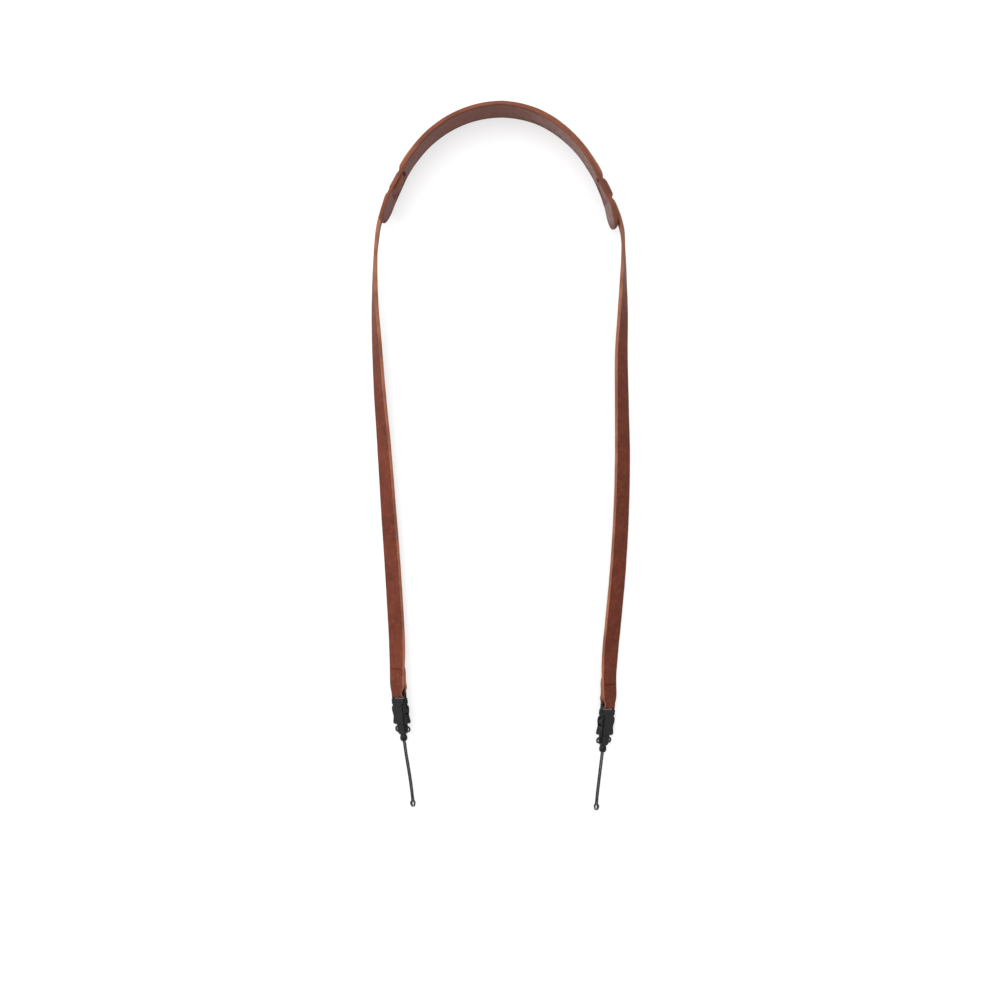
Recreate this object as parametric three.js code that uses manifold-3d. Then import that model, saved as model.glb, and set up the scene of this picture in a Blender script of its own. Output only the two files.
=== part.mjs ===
// Leather neck strap that lies on a table: a curved neck pad standing on its edge, one long
// strap woven through it, and a small side release buckle with a cord loop at each end.
// Millimetres, +Z up. The loop of the strap lies in the XY plane with the pad at +Y.

import * as THREE from 'three';
import { mergeVertices } from 'three/addons/utils/BufferGeometryUtils.js';
import Module from 'manifold-3d';

const wasm = await Module();
wasm.setup();

// Leather thicknesses and widths
const PAD_WIDTH = 31;
const PAD_THICKNESS = 2.2;
const STRAP_WIDTH = 12.5;
const STRAP_THICKNESS = 2.5;
const STRAP_END_THICKNESS = 2.1;
const TONGUE_THICKNESS = 1.4;
const TAB_THICKNESS = 1.5;
const EDGE_BEVEL = 0.4;

// Neck pad in plan: an arc with a straight tongue at each end
const PAD_INNER_RADIUS = 68.2;
const PAD_TIP_RADIUS = 13;
const LEFT_TONGUE = 29;
const RIGHT_TONGUE = 22.5;
const LEFT_TONGUE_ANGLE = 20;
const RIGHT_TONGUE_ANGLE = 12;

// Weave of the strap through the pad
const LEFT_BRIDGE_FROM_TIP = 26.5;
const RIGHT_BRIDGE_FROM_TIP = 25.5;
const BRIDGE_LENGTH = 8;
const SLOT_LENGTH = 5.5;
const DIP_LENGTH = 9;
const LEFT_STRAP_DIP = 3.4;
const RIGHT_STRAP_DIP = 2.2;
const SEAT_GAP = 0.36;
const SLOT_CLEARANCE = 0.3;

// Buckles in plan, measured from the centre of the pad's arc to the fold of each strap end
const LEFT_FOLD_BELOW = 313.2;
const RIGHT_FOLD_BELOW = 320.5;
const LEFT_FOLD_OUT = 66.0;
const RIGHT_FOLD_OUT = 70.4;
const LEFT_BUCKLE_TURN = 6.3;
const RIGHT_BUCKLE_TURN = 6.6;
const BUCKLE_LEAN = 46;
const LEFT_BOW = 10.5;
const RIGHT_BOW = 8.6;

// Strap end round the buckle bar
const TAB_LENGTH = 21;
const STRAP_SHIFT = 1.2;
const TONGUE_UPPER_CUT = 2.6;
const TONGUE_LOWER_CUT = 0.5;
const FOLD_GAP = 0.3;
const BAR_RADIUS = 0.9;
const BAR_SIDES = 12;

// Side release buckle, socket half
const FRAME_POST_WIDTH = 1.2;
const FRAME_POST_THICKNESS = 1.9;
const FRAME_SIDE_GAP = 0.3;
const COLLAR_START = 0.4;
const COLLAR_LENGTH = 3.6;
const COLLAR_WIDTH = 11.2;
const COLLAR_THICKNESS = 4.4;
const SHELL_END = 17;
const SHELL_WIDTH = 12.9;
const SHELL_WAIST_SHARE = 0.88;
const SHELL_THICKNESS = 4.2;
const PLATE_WIDTH = 8.8;
const PLATE_THICKNESS = 5.6;
const CAVITY_START = 5.6;
const SHELL_WALL = 1.1;
const CAVITY_THICKNESS = 2.8;
const WINDOW_LENGTH = 5.2;
const WINDOW_INSET = 0.2;

// Side release buckle, clip half
const CLIP_GAP = 0.35;
const ARM_WIDTH = 1.1;
const BUTTON_LENGTH = 4.3;
const BUTTON_RISE = 1.6;
const BUTTON_CROWN = 0.15;
const PLUG_WIDTH = 2.6;
const PLUG_SHORT = 1.6;
const PLUG_ROOT = 1.0;
const BLOCK_LENGTH = 6.4;
const BLOCK_WIDTH = 6.6;
const BLOCK_THICKNESS = 3.8;
const EAR_RADIUS = 2.05;
const EAR_HOLE = 1.25;
const EAR_OUT = 5.15;
const EAR_THICKNESS = 1.1;
const EAR_SIDES = 16;
const EAR_HOLE_SIDES = 12;
const TAIL_RADIUS = 2.45;
const TAIL_LENGTH = 4.4;
const TAIL_SIDES = 20;
const CORD_HOLE_RADIUS = 1.4;
const CORD_HOLE_DEPTH = 2.3;
const CORD_HOLE_SIDES = 14;

// How far a cut runs past the face that it opens
const CUT_PAST = 1.0;

// Cord loops
const CORD_DIAMETER = 1.0;
const STRAND_SPACING = 1.08;
const CORD_END_GAP = 0.3;
const CORD_STEPS = 76;
const CORD_SIDES = 8;

// Heights that the tails and the cords keep off the table
const FLOOR_GAP = 0.05;
const CORD_FLOOR_GAP = 0.2;

// Finishes
const LEATHER = { color: 0x7c4639, roughness: 0.55, metalness: 0 };
const PAD_LEATHER = { color: 0x754538, roughness: 0.6, metalness: 0 };
const PLASTIC = { color: 0x232426, roughness: 0.38, metalness: 0 };
const CORD = { color: 0x2a2a2b, roughness: 0.8, metalness: 0 };

// Lean of the pad's wall, its top edge outwards. Columns: share of the pad's length from the
// left tip, degrees.
const PAD_LEAN = [
  [0.0, 4.0],
  [0.12, 0.0],
  [0.25, -0.5],
  [0.38, 0.7],
  [0.5, 1.2],
  [0.62, -1.0],
  [0.74, -3.3],
  [0.87, -2.5],
  [1.0, 5.0],
];
// How far the pad is pressed in from its arc. Columns: share of the pad's length from the left
// tip, distance inwards.
const PAD_PRESS = [
  [0.0, -0.9],
  [0.07, -0.7],
  [0.13, 0.3],
  [0.22, 0.9],
  [0.32, 0.5],
  [0.42, -0.1],
  [0.5, -0.5],
  [0.6, -0.4],
  [0.7, 0.6],
  [0.8, 1.1],
  [0.87, 0.3],
  [0.93, -1.2],
  [1.0, -1.0],
];

// Way of each strap tail from the pad to its buckle. Columns: share of the way, distance
// outside the straight line as a share of the bow, lean of the upper edge inwards in degrees,
// height of the lower edge as a share of its height in the slots, the same as a share of the
// height that the buckle gives it.
const LEFT_TAIL = [
  [0.025, 0.28, 0, 0.97, 0],
  [0.055, 0.6, 3, 0.9, 0],
  [0.1, 0.83, 4.5, 0.76, 0],
  [0.16, 0.95, 9, 0.56, 0],
  [0.225, 0.98, 16, 0.38, 0],
  [0.3, 0.92, 26, 0.2, 0],
  [0.4, 0.8, 33.5, 0.07, 0],
  [0.5, 0.61, 41, 0.01, 0],
  [0.62, 0.42, 47.5, 0, 0],
  [0.74, 0.22, 52, 0, 0],
  [0.84, 0.08, 53.5, 0, 0],
  [0.915, 0.0, 52.5, 0, 0.1],
  [0.965, 0.0, 49, 0, 0.45],
];
const RIGHT_TAIL = [
  [0.025, 0.4, 0, 0.97, 0],
  [0.055, 0.75, 3, 0.9, 0],
  [0.1, 0.87, 7, 0.76, 0],
  [0.16, 0.89, 17, 0.56, 0],
  [0.225, 0.87, 28.5, 0.38, 0],
  [0.3, 0.8, 37, 0.22, 0],
  [0.4, 0.86, 42.5, 0.1, 0],
  [0.5, 0.94, 47.5, 0.01, 0],
  [0.62, 0.87, 50.5, 0, 0],
  [0.74, 0.64, 52.5, 0, 0],
  [0.84, 0.32, 53.5, 0, 0],
  [0.915, 0.05, 52.5, 0, 0.1],
  [0.965, -0.03, 48.5, 0, 0.45],
];

// Strap end in its buckle's frame. Columns: distance before the fold as a share of the tab's
// length, share of the tongue's cuts, share of the way from tongue to thinned strap.
const STRAP_END = [
  [0.37, 0, 0.9],
  [0.32, 0.1, 0.75],
  [0.275, 0.4, 0.55],
  [0.23, 0.72, 0.35],
  [0.185, 0.92, 0.15],
  [0.14, 1, 0],
];
// Tab behind the bar. Columns: distance before the fold as a share of the tab's length, share of
// the tongue's cuts, share of the way from the bar's far side to the strap's back.
const TAB_START = [
  [0.14, 1, 0],
  [0.185, 0.92, 0.1],
  [0.23, 0.72, 0.3],
  [0.275, 0.4, 0.52],
  [0.32, 0.1, 0.75],
  [0.37, 0, 0.93],
];
// Tab against the strap's back, to its thin end. Columns: distance before the fold as a share
// of the tab's length, thickness as a share of the tab's thickness, width lost at each side as
// a share of the strap's width.
const TAB_END = [
  [0.46, 1, 0.02],
  [0.58, 1, 0.05],
  [0.7, 1, 0.06],
  [0.82, 0.95, 0.06],
  [0.93, 0.75, 0.07],
  [1.0, 0.5, 0.1],
];

// Route of each cord pair on the table. Columns: across and along from the buckle's end,
// height of the cord's middle above the table as a share of the buckle's height, then flat.
const LEFT_CORD = [
  [0.45, -2.6, 0.97],
  [0.8, -6.0, 0.8],
  [1.2, -9.8, 0.45],
  [1.7, -13.6, 0.17],
  [2.2, -17.1, 0],
  [3.65, -26.2, 0],
  [4.75, -34.4, 0],
  [5.3, -39.4, 0],
];
const RIGHT_CORD = [
  [-0.3, -2.6, 0.97],
  [-0.65, -6.2, 0.8],
  [-0.95, -10.0, 0.45],
  [-1.3, -13.9, 0.17],
  [-1.7, -17.9, 0],
  [-2.4, -23.9, 0],
  [-3.1, -29.9, 0],
  [-3.5, -34.4, 0],
];
// Girth hitch at the end of each pair, one half of it. Columns: along from the last point,
// to the side, height above the flat cord, all as multiples of the cord's diameter.
const HITCH = [
  [1.4, 0.7, 0],
  [2.8, 0.95, 0],
  [4.0, 0.72, 0.3],
  [4.5, 0.58, 1.25],
  [4.0, 0.72, 2.2],
  [2.9, 1.15, 2.45],
  [1.8, 1.3, 2.1],
  [1.15, 0.75, 1.75],
];

const UP = new THREE.Vector3(0, 0, 1);
const radians = THREE.MathUtils.degToRad;

// Value at a share, straight between the rows of a table
function along(table, share, column) {
  const last = table.length - 1;
  if (share <= table[0][0]) return table[0][column];
  for (let i = 0; i < last; i += 1) {
    const [from, to] = [table[i], table[i + 1]];
    if (share <= to[0]) {
      const part = (share - from[0]) / (to[0] - from[0]);
      return THREE.MathUtils.lerp(from[column], to[column], part);
    }
  }
  return table[last][column];
}

// Geometry and solid, both ways
function solidOf(geometry) {
  const bare = geometry.clone();
  bare.deleteAttribute('normal');
  bare.deleteAttribute('uv');
  const merged = mergeVertices(bare, 1e-4);
  return new wasm.Manifold(
    new wasm.Mesh({
      numProp: 3,
      vertProperties: new Float32Array(merged.attributes.position.array),
      triVerts: new Uint32Array(merged.index.array),
    }),
  );
}

function geometryOf(solid) {
  const mesh = solid.getMesh();
  const geometry = new THREE.BufferGeometry();
  geometry.setAttribute('position', new THREE.BufferAttribute(mesh.vertProperties, 3));
  geometry.setIndex(new THREE.BufferAttribute(mesh.triVerts, 1));
  geometry.computeVertexNormals();
  return geometry;
}

// Closed skin over a row of rings that have the same number of points
function loft(rings) {
  const count = rings[0].length;
  const positions = rings.flat().flatMap((point) => point.toArray());
  const index = [];
  for (let row = 0; row < rings.length - 1; row += 1) {
    for (let i = 0; i < count; i += 1) {
      const next = (i + 1) % count;
      const [a, b] = [row * count + i, row * count + next];
      index.push(a, b, a + count, b, b + count, a + count);
    }
  }
  const end = (rings.length - 1) * count;
  for (let i = 1; i < count / 2; i += 1) {
    const [near, far] = [i, count - i];
    if (i === 1) {
      index.push(0, far, near);
      index.push(end, end + near, end + far);
    }
    if (far - near > 1) {
      index.push(near, far, near + 1);
      index.push(end + near, end + near + 1, end + far);
    }
    if (far - near > 2) {
      index.push(near + 1, far, far - 1);
      index.push(end + near + 1, end + far - 1, end + far);
    }
  }
  const geometry = new THREE.BufferGeometry();
  geometry.setAttribute('position', new THREE.Float32BufferAttribute(positions, 3));
  geometry.setIndex(index);
  geometry.computeVertexNormals();
  return geometry;
}

// Bevelled rectangle of leather at a station
function strapRing(station, grow = 0) {
  const halfWidth = station.width / 2 + grow;
  const halfThickness = station.thickness / 2 + grow;
  const bevel = EDGE_BEVEL;
  const corners = [
    [-halfWidth, halfThickness - bevel],
    [-halfWidth + bevel, halfThickness],
    [halfWidth - bevel, halfThickness],
    [halfWidth, halfThickness - bevel],
    [halfWidth, -halfThickness + bevel],
    [halfWidth - bevel, -halfThickness],
    [-halfWidth + bevel, -halfThickness],
    [-halfWidth, -halfThickness + bevel],
  ];
  return corners.map(([across, out]) =>
    station.centre.clone().addScaledVector(station.u, across).addScaledVector(station.n, out),
  );
}

// Neck pad in plan
const padMiddleRadius = PAD_INNER_RADIUS + PAD_THICKNESS / 2;
const padArc = radians(180 - LEFT_TONGUE_ANGLE - RIGHT_TONGUE_ANGLE) * padMiddleRadius;
const padLength = LEFT_TONGUE + padArc + RIGHT_TONGUE;
const padMidHeight = PAD_WIDTH / 2;
const leftBridge = LEFT_BRIDGE_FROM_TIP;
const rightBridge = padLength - RIGHT_BRIDGE_FROM_TIP;
const strapSeat = PAD_THICKNESS / 2 + SEAT_GAP + STRAP_THICKNESS / 2;

// How far the strap goes in behind the bridge of its half of the pad, and that bridge comes out
const strapDip = (distance) => (distance < padLength / 2 ? LEFT_STRAP_DIP : RIGHT_STRAP_DIP);
const bridgeRise = (distance) => 2 * strapSeat - strapDip(distance);

// Point and outward direction of the pad's middle line, from the left tip
function padPlan(distance) {
  const leftAngle = Math.PI - radians(LEFT_TONGUE_ANGLE);
  const arcDistance = THREE.MathUtils.clamp(distance - LEFT_TONGUE, 0, padArc);
  const angle = leftAngle - arcDistance / padMiddleRadius;
  const out = new THREE.Vector3(Math.cos(angle), Math.sin(angle), 0);
  const ahead = new THREE.Vector3(Math.sin(angle), -Math.cos(angle), 0);
  const past = distance - LEFT_TONGUE - arcDistance;
  const radius = padMiddleRadius - along(PAD_PRESS, distance / padLength, 1);
  const point = out.clone().multiplyScalar(radius).addScaledVector(ahead, past);
  return { point, out };
}

// 1 over a bridge, 0 away from both, with a smooth change over the given length
function overBridges(distance, change) {
  const reach = (BRIDGE_LENGTH + SLOT_LENGTH) / 2;
  const away = Math.min(Math.abs(distance - leftBridge), Math.abs(distance - rightBridge));
  return 1 - THREE.MathUtils.smoothstep(away, reach - change / 2, reach + change / 2);
}

// Steps along the pad: at its tips, elsewhere, and how far from a tip the fine ones reach
const TIP_STEP = PAD_TIP_RADIUS / 16;
const PAD_STEP = PAD_TIP_RADIUS / 2.6;
const TIP_REACH = PAD_TIP_RADIUS / 6;

// Distances along the pad, closer together round the bridges and the tips
function padDistances() {
  const stops = [];
  let distance = 0;
  while (distance < padLength) {
    stops.push(distance);
    const fromTip = Math.min(distance, padLength - distance);
    const fromBridge = Math.min(
      Math.abs(distance - leftBridge),
      Math.abs(distance - rightBridge),
    );
    const nearBridge = fromBridge < (BRIDGE_LENGTH + 3 * SLOT_LENGTH) / 2;
    const step = fromTip < TIP_REACH ? TIP_STEP : PAD_STEP;
    distance += nearBridge ? SLOT_LENGTH / 3 : step;
  }
  if (padLength - stops[stops.length - 1] < TIP_STEP) stops.pop();
  stops.push(padLength);
  return stops;
}

// Half the pad's width at a distance: full, with round corners at the tips
function padHalfWidth(distance) {
  const fromTip = Math.min(distance, padLength - distance);
  const short = Math.max(PAD_TIP_RADIUS - fromTip, 0);
  const lost = PAD_TIP_RADIUS - Math.sqrt(PAD_TIP_RADIUS ** 2 - short ** 2);
  return PAD_WIDTH / 2 - lost;
}

// Rows of the pad's wall from its lower to its upper edge, as shares of the half width
const PAD_ROWS = [-1, -0.97, -0.78, -0.6, -0.42, 0.42, 0.6, 0.78, 0.97, 1];

function padRing(distance) {
  const { point, out } = padPlan(distance);
  const slope = Math.tan(radians(along(PAD_LEAN, distance / padLength, 1)));
  const rise = bridgeRise(distance) * overBridges(distance, SLOT_LENGTH);
  const half = padHalfWidth(distance);
  const edge = PAD_ROWS.length - 1;
  const side = (sign) =>
    PAD_ROWS.map((row, i) => {
      const height = padMidHeight + row * half;
      const away = Math.abs(height - padMidHeight);
      const flat = STRAP_WIDTH / 2 + SLOT_CLEARANCE;
      const bulge = rise * (1 - THREE.MathUtils.smoothstep(away, flat, PAD_WIDTH / 2));
      const thin = i === 0 || i === edge ? EDGE_BEVEL : 0;
      const offset = height * slope + bulge + sign * (PAD_THICKNESS / 2 - thin);
      return point.clone().addScaledVector(out, offset).addScaledVector(UP, height);
    });
  return [...side(1), ...side(-1).reverse()];
}

// Strap against the pad: outside it, and in behind the bridges
const slotLift = padMidHeight - STRAP_WIDTH / 2;

function strapOnPad(distance) {
  const { point, out } = padPlan(distance);
  const lean = radians(along(PAD_LEAN, distance / padLength, 1));
  const dip = strapDip(distance) * overBridges(distance, DIP_LENGTH);
  const offset = padMidHeight * Math.tan(lean) + strapSeat - dip;
  const centre = point.clone().addScaledVector(out, offset).addScaledVector(UP, padMidHeight);
  return { centre, out, lean: -lean };
}

// Station of the strap from its centre, outward plan direction and inward lean
function station(centre, out, lean, width = STRAP_WIDTH, thickness = STRAP_THICKNESS) {
  const u = UP.clone().multiplyScalar(Math.cos(lean)).addScaledVector(out, -Math.sin(lean));
  const n = out.clone().multiplyScalar(Math.cos(lean)).addScaledVector(UP, Math.sin(lean));
  return { centre, u, n, width, thickness };
}

// Frame of a buckle: across from the lower to the upper edge, along to the cord, outer face
function buckleFrame(side, foldBelow, foldOut, turn) {
  const swing = radians(turn);
  const ahead = new THREE.Vector3(-side * Math.sin(swing), -Math.cos(swing), 0);
  const out = new THREE.Vector3(side * Math.cos(swing), -Math.sin(swing), 0);
  const lean = radians(BUCKLE_LEAN);
  const { u, n } = station(null, out, lean);
  const wing = (SHELL_WIDTH * u.z + SHELL_THICKNESS * n.z) / 2;
  const plate = (PLATE_WIDTH * u.z + PLATE_THICKNESS * n.z) / 2;
  const height = Math.max(wing, plate) + FLOOR_GAP;
  const origin = new THREE.Vector3(side * foldOut, -foldBelow, height);
  const at = (across, forward, outward) =>
    origin.clone().addScaledVector(u, across).addScaledVector(ahead, forward)
      .addScaledVector(n, outward);
  return { side, ahead, u, n, lean, at };
}

const leftBuckle = buckleFrame(-1, LEFT_FOLD_BELOW, LEFT_FOLD_OUT, LEFT_BUCKLE_TURN);
const rightBuckle = buckleFrame(1, RIGHT_FOLD_BELOW, RIGHT_FOLD_OUT, RIGHT_BUCKLE_TURN);

// Strap end in the buckle: front layer, fold round the bar, tab behind
const barAlong = -(TONGUE_THICKNESS + FOLD_GAP + BAR_RADIUS);
const foldRadius = BAR_RADIUS + FOLD_GAP + TONGUE_THICKNESS / 2;
const frontFace = BAR_RADIUS + FOLD_GAP + TONGUE_THICKNESS;
const strapInBuckle = frontFace - STRAP_END_THICKNESS / 2;
const FOLD_STEPS = 8;

function endStation(buckle, forward, outward, cut, thickness, turn = 0) {
  const upper = STRAP_WIDTH / 2 + STRAP_SHIFT - cut * TONGUE_UPPER_CUT;
  const lower = STRAP_WIDTH / 2 - STRAP_SHIFT - cut * TONGUE_LOWER_CUT;
  const centre = buckle.at((upper - lower) / 2, forward, outward);
  const n = buckle.n.clone().multiplyScalar(Math.cos(turn))
    .addScaledVector(buckle.ahead, Math.sin(turn));
  return { centre, u: buckle.u, n, width: upper + lower, thickness };
}

function strapEnd(buckle) {
  const front = STRAP_END.map(([share, cut, full]) => {
    const thickness = THREE.MathUtils.lerp(TONGUE_THICKNESS, STRAP_END_THICKNESS, full);
    const outward = frontFace - thickness / 2;
    return endStation(buckle, -share * TAB_LENGTH, outward, cut, thickness);
  });
  const fold = [];
  for (let i = 0; i <= FOLD_STEPS; i += 1) {
    const turn = (Math.PI * i) / FOLD_STEPS;
    const forward = barAlong + foldRadius * Math.sin(turn);
    const outward = foldRadius * Math.cos(turn);
    fold.push(endStation(buckle, forward, outward, 1, TONGUE_THICKNESS, turn));
  }
  const pressed = frontFace - STRAP_END_THICKNESS - FOLD_GAP - TAB_THICKNESS / 2;
  const tab = TAB_START.map(([share, cut, closed]) => {
    const thickness = THREE.MathUtils.lerp(TONGUE_THICKNESS, TAB_THICKNESS, closed);
    const outward = THREE.MathUtils.lerp(-foldRadius, pressed, closed);
    return endStation(buckle, -share * TAB_LENGTH, outward, cut, thickness, Math.PI);
  });
  return [...front, ...fold, ...tab];
}

// Station of a tail at a distance back from its end
function stationBack(tail, distance) {
  let left = distance;
  for (let i = tail.length - 1; i > 0; i -= 1) {
    const [from, to] = [tail[i], tail[i - 1]];
    const gap = from.centre.distanceTo(to.centre);
    if (left <= gap) {
      const part = left / gap;
      return {
        ...from,
        centre: from.centre.clone().lerp(to.centre, part),
        u: from.u.clone().lerp(to.u, part).normalize(),
        n: from.n.clone().lerp(to.n, part).normalize(),
        thickness: THREE.MathUtils.lerp(from.thickness, to.thickness, part),
      };
    }
    left -= gap;
  }
  return tail[0];
}

// Tab that lies against the back of the tail's end
function tabOnTail(tail) {
  return TAB_END.map(([share, thick, lost]) => {
    const back = stationBack(tail, (share - TIE_SHARE) * TAB_LENGTH);
    const thickness = TAB_THICKNESS * thick;
    const behind = back.thickness / 2 + FOLD_GAP + thickness / 2;
    const centre = back.centre.clone().addScaledVector(back.n, -behind);
    const width = STRAP_WIDTH * (1 - 2 * lost);
    return { centre, u: back.u, n: back.n.clone().negate(), width, thickness };
  });
}

// Strap tail from the pad to the buckle, in stations a short way apart
const TAIL_STEPS = 4;
const TIE_SHARE = 0.41;
const THINNING_LENGTH = 8;

function strapTail(side, exit, before, buckle, bow, table) {
  const start = strapOnPad(exit);
  const tie = -TIE_SHARE * TAB_LENGTH;
  const end = buckle.at(STRAP_SHIFT, tie, strapInBuckle);
  const line = end.clone().sub(start.centre).setZ(0);
  const across = new THREE.Vector3(-line.y, line.x, 0).normalize().multiplyScalar(side);
  const restHeight = (lean) =>
    (STRAP_WIDTH * Math.cos(lean) + STRAP_THICKNESS * Math.sin(Math.abs(lean))) / 2;
  const endLift = end.z - restHeight(buckle.lean) - FLOOR_GAP;
  const rows = table.map(([share, bowShare, leanDegrees, slotShare, endShare]) => {
    const lean = radians(leanDegrees);
    const lift = FLOOR_GAP + slotLift * slotShare + endLift * endShare;
    const point = start.centre.clone().addScaledVector(line, share);
    return {
      centre: point.addScaledVector(across, bow * bowShare).setZ(lift + restHeight(lean)),
      lean,
    };
  });
  const lead = strapOnPad(before);
  const beyond = buckle.at(STRAP_SHIFT, tie + TAB_LENGTH / 8, strapInBuckle);
  const all = [lead, start, ...rows, { centre: end, lean: buckle.lean }];
  all.push({ centre: beyond, lean: buckle.lean });
  const route = new THREE.CatmullRomCurve3(all.map((row) => row.centre), false, 'centripetal');
  const leans = new THREE.CatmullRomCurve3(
    all.map((row, i) => new THREE.Vector3(row.lean, i, 0)),
    false,
    'catmullrom',
    0.5,
  );
  const stations = [];
  const last = all.length - 1;
  for (let i = TAIL_STEPS; i <= (last - 1) * TAIL_STEPS; i += 1) {
    const t = i / (last * TAIL_STEPS);
    const ahead = route.getTangent(t).setZ(0).normalize();
    const out = new THREE.Vector3(-ahead.y, ahead.x, 0).multiplyScalar(side);
    const point = route.getPoint(t);
    const past = point.distanceTo(end) + TIE_SHARE * TAB_LENGTH - TAB_LENGTH;
    const full = THREE.MathUtils.smoothstep(past, 0, THINNING_LENGTH);
    const thickness = THREE.MathUtils.lerp(STRAP_END_THICKNESS, STRAP_THICKNESS, full);
    stations.push(station(point, out, leans.getPoint(t).x, STRAP_WIDTH, thickness));
  }
  return stations;
}

// Whole strap, from the left tab to the right one
const EXIT_FROM_BRIDGE = BRIDGE_LENGTH / 2 + SLOT_LENGTH;
const leftExit = leftBridge - EXIT_FROM_BRIDGE;
const rightExit = rightBridge + EXIT_FROM_BRIDGE;

function strapStations() {
  const step = SLOT_LENGTH / 3;
  const leftTail = strapTail(-1, leftExit, leftExit + step, leftBuckle, LEFT_BOW, LEFT_TAIL);
  const rightTail = strapTail(1, rightExit, rightExit - step, rightBuckle, RIGHT_BOW, RIGHT_TAIL);
  const onPad = padDistances()
    .filter((distance) => distance > leftExit + step / 2 && distance < rightExit - step / 2)
    .map((distance) => {
      const { centre, out, lean } = strapOnPad(distance);
      return station(centre, out, lean);
    });
  const leftEnd = [...strapEnd(leftBuckle), ...tabOnTail(leftTail)];
  const rightEnd = [...strapEnd(rightBuckle), ...tabOnTail(rightTail)];
  return {
    whole: [...leftEnd.reverse(), ...leftTail.reverse(), ...onPad, ...rightTail, ...rightEnd],
    woven: [...leftTail.slice(-3 * TAIL_STEPS), ...onPad, ...rightTail.slice(0, 3 * TAIL_STEPS)],
  };
}

const stations = strapStations();

function makeStrap() {
  return solidOf(loft(stations.whole.map((place) => strapRing(place))));
}

function makePad() {
  const wall = solidOf(loft(padDistances().map(padRing)));
  const way = solidOf(loft(stations.woven.map((place) => strapRing(place, SLOT_CLEARANCE))));
  return wall.subtract(way);
}

// Flat plastic shape in a buckle's own frame: x across, y along, z to the outer face
function plate(points, thickness) {
  const shape = new THREE.Shape(points.map(([x, y]) => new THREE.Vector2(x, y)));
  const geometry = new THREE.ExtrudeGeometry(shape, { depth: thickness, bevelEnabled: false });
  return solidOf(geometry.translate(0, 0, -thickness / 2));
}

function block(width, length, thickness, y, x = 0, z = 0) {
  const geometry = new THREE.BoxGeometry(width, length, thickness);
  return solidOf(geometry.translate(x, y + length / 2, z));
}

function pillar(radius, height, x, y, sides) {
  const geometry = new THREE.CylinderGeometry(radius, radius, height, sides);
  return solidOf(geometry.rotateX(Math.PI / 2).translate(x, y, 0));
}

// Outline of the socket's shell, right half. Columns: share of the half width, share of the
// length from the collar's end to the mouth.
const SHELL_OUTLINE = [
  [0.8, -0.05],
  [0.8, 0.045],
  [0.93, 0.1],
  [0.99, 0.19],
  [1.0, 0.29],
  [0.95, 0.42],
  [SHELL_WAIST_SHARE, 0.56],
  [0.92, 0.7],
  [0.99, 0.83],
  [1.0, 0.91],
  [0.95, 0.98],
  [0.86, 1.0],
];

function mirrored(half) {
  return [...half, ...half.map(([x, y]) => [-x, y]).reverse()];
}

const collarEnd = COLLAR_START + COLLAR_LENGTH;
const shellLength = SHELL_END - collarEnd;
const tongueReach =
  STRAP_WIDTH / 2 + Math.max(STRAP_SHIFT - TONGUE_UPPER_CUT, -STRAP_SHIFT - TONGUE_LOWER_CUT);
const frameOuter = 2 * (tongueReach + FRAME_SIDE_GAP + FRAME_POST_WIDTH);
const cavityWidth = SHELL_WIDTH * SHELL_WAIST_SHARE - 2 * SHELL_WALL;

function makeSocket() {
  const shell = plate(
    mirrored(SHELL_OUTLINE.map(([x, y]) => [x * SHELL_WIDTH / 2, collarEnd + y * shellLength])),
    SHELL_THICKNESS,
  );
  const half = PLATE_WIDTH / 2;
  const round = PLATE_WIDTH / 12;
  const facePlates = plate(
    mirrored([
      [half - round, collarEnd - round],
      [half, collarEnd],
      [half, SHELL_END - 2 * round],
      [half - 2 * round, SHELL_END],
    ]),
    PLATE_THICKNESS,
  );
  const collarHalf = COLLAR_WIDTH / 2;
  const collar = plate(
    mirrored([
      [collarHalf - round / 2, COLLAR_START],
      [collarHalf, COLLAR_START + round / 2],
      [collarHalf, collarEnd - round / 2],
      [collarHalf - round / 2, collarEnd],
    ]),
    COLLAR_THICKNESS,
  );
  const postStart = barAlong - BAR_RADIUS;
  const postLength = COLLAR_START - postStart + round;
  const postMiddle = (frameOuter - FRAME_POST_WIDTH) / 2;
  const post = (x) => block(FRAME_POST_WIDTH, postLength, FRAME_POST_THICKNESS, postStart, x);
  const barGeometry = new THREE.CylinderGeometry(
    BAR_RADIUS,
    BAR_RADIUS,
    frameOuter - FRAME_POST_WIDTH,
    BAR_SIDES,
  );
  const bar = solidOf(barGeometry.rotateZ(Math.PI / 2).translate(0, barAlong, 0));
  const shoulder = block(frameOuter, COLLAR_LENGTH / 2, FRAME_POST_THICKNESS, COLLAR_START);
  const cavityLength = SHELL_END - CAVITY_START + CUT_PAST;
  const cavity = block(cavityWidth, cavityLength, CAVITY_THICKNESS, CAVITY_START);
  const windows = block(
    SHELL_WIDTH + 2 * CUT_PAST,
    WINDOW_LENGTH,
    CAVITY_THICKNESS - 2 * WINDOW_INSET,
    CAVITY_START + WINDOW_INSET,
  );
  return shell
    .add(facePlates)
    .add(collar)
    .add(shoulder)
    .add(post(postMiddle))
    .add(post(-postMiddle))
    .add(bar)
    .subtract(cavity)
    .subtract(windows);
}

// Outline of the clip's block, right half. Columns: share of the half width, share of the
// length.
const BLOCK_OUTLINE = [
  [0.8, 0],
  [1, 0.08],
  [1, 0.72],
  [0.6, 1],
];

// Tail of the clip: a bell round the cord. Columns: share of the tail's radius, share of its
// length.
const TAIL_PROFILE = [
  [0, -0.08],
  [0.84, -0.08],
  [0.8, 0.06],
  [0.84, 0.18],
  [0.94, 0.34],
  [1.0, 0.52],
  [0.98, 0.7],
  [0.9, 0.86],
  [0.76, 1.0],
  [0, 1.0],
];

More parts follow.
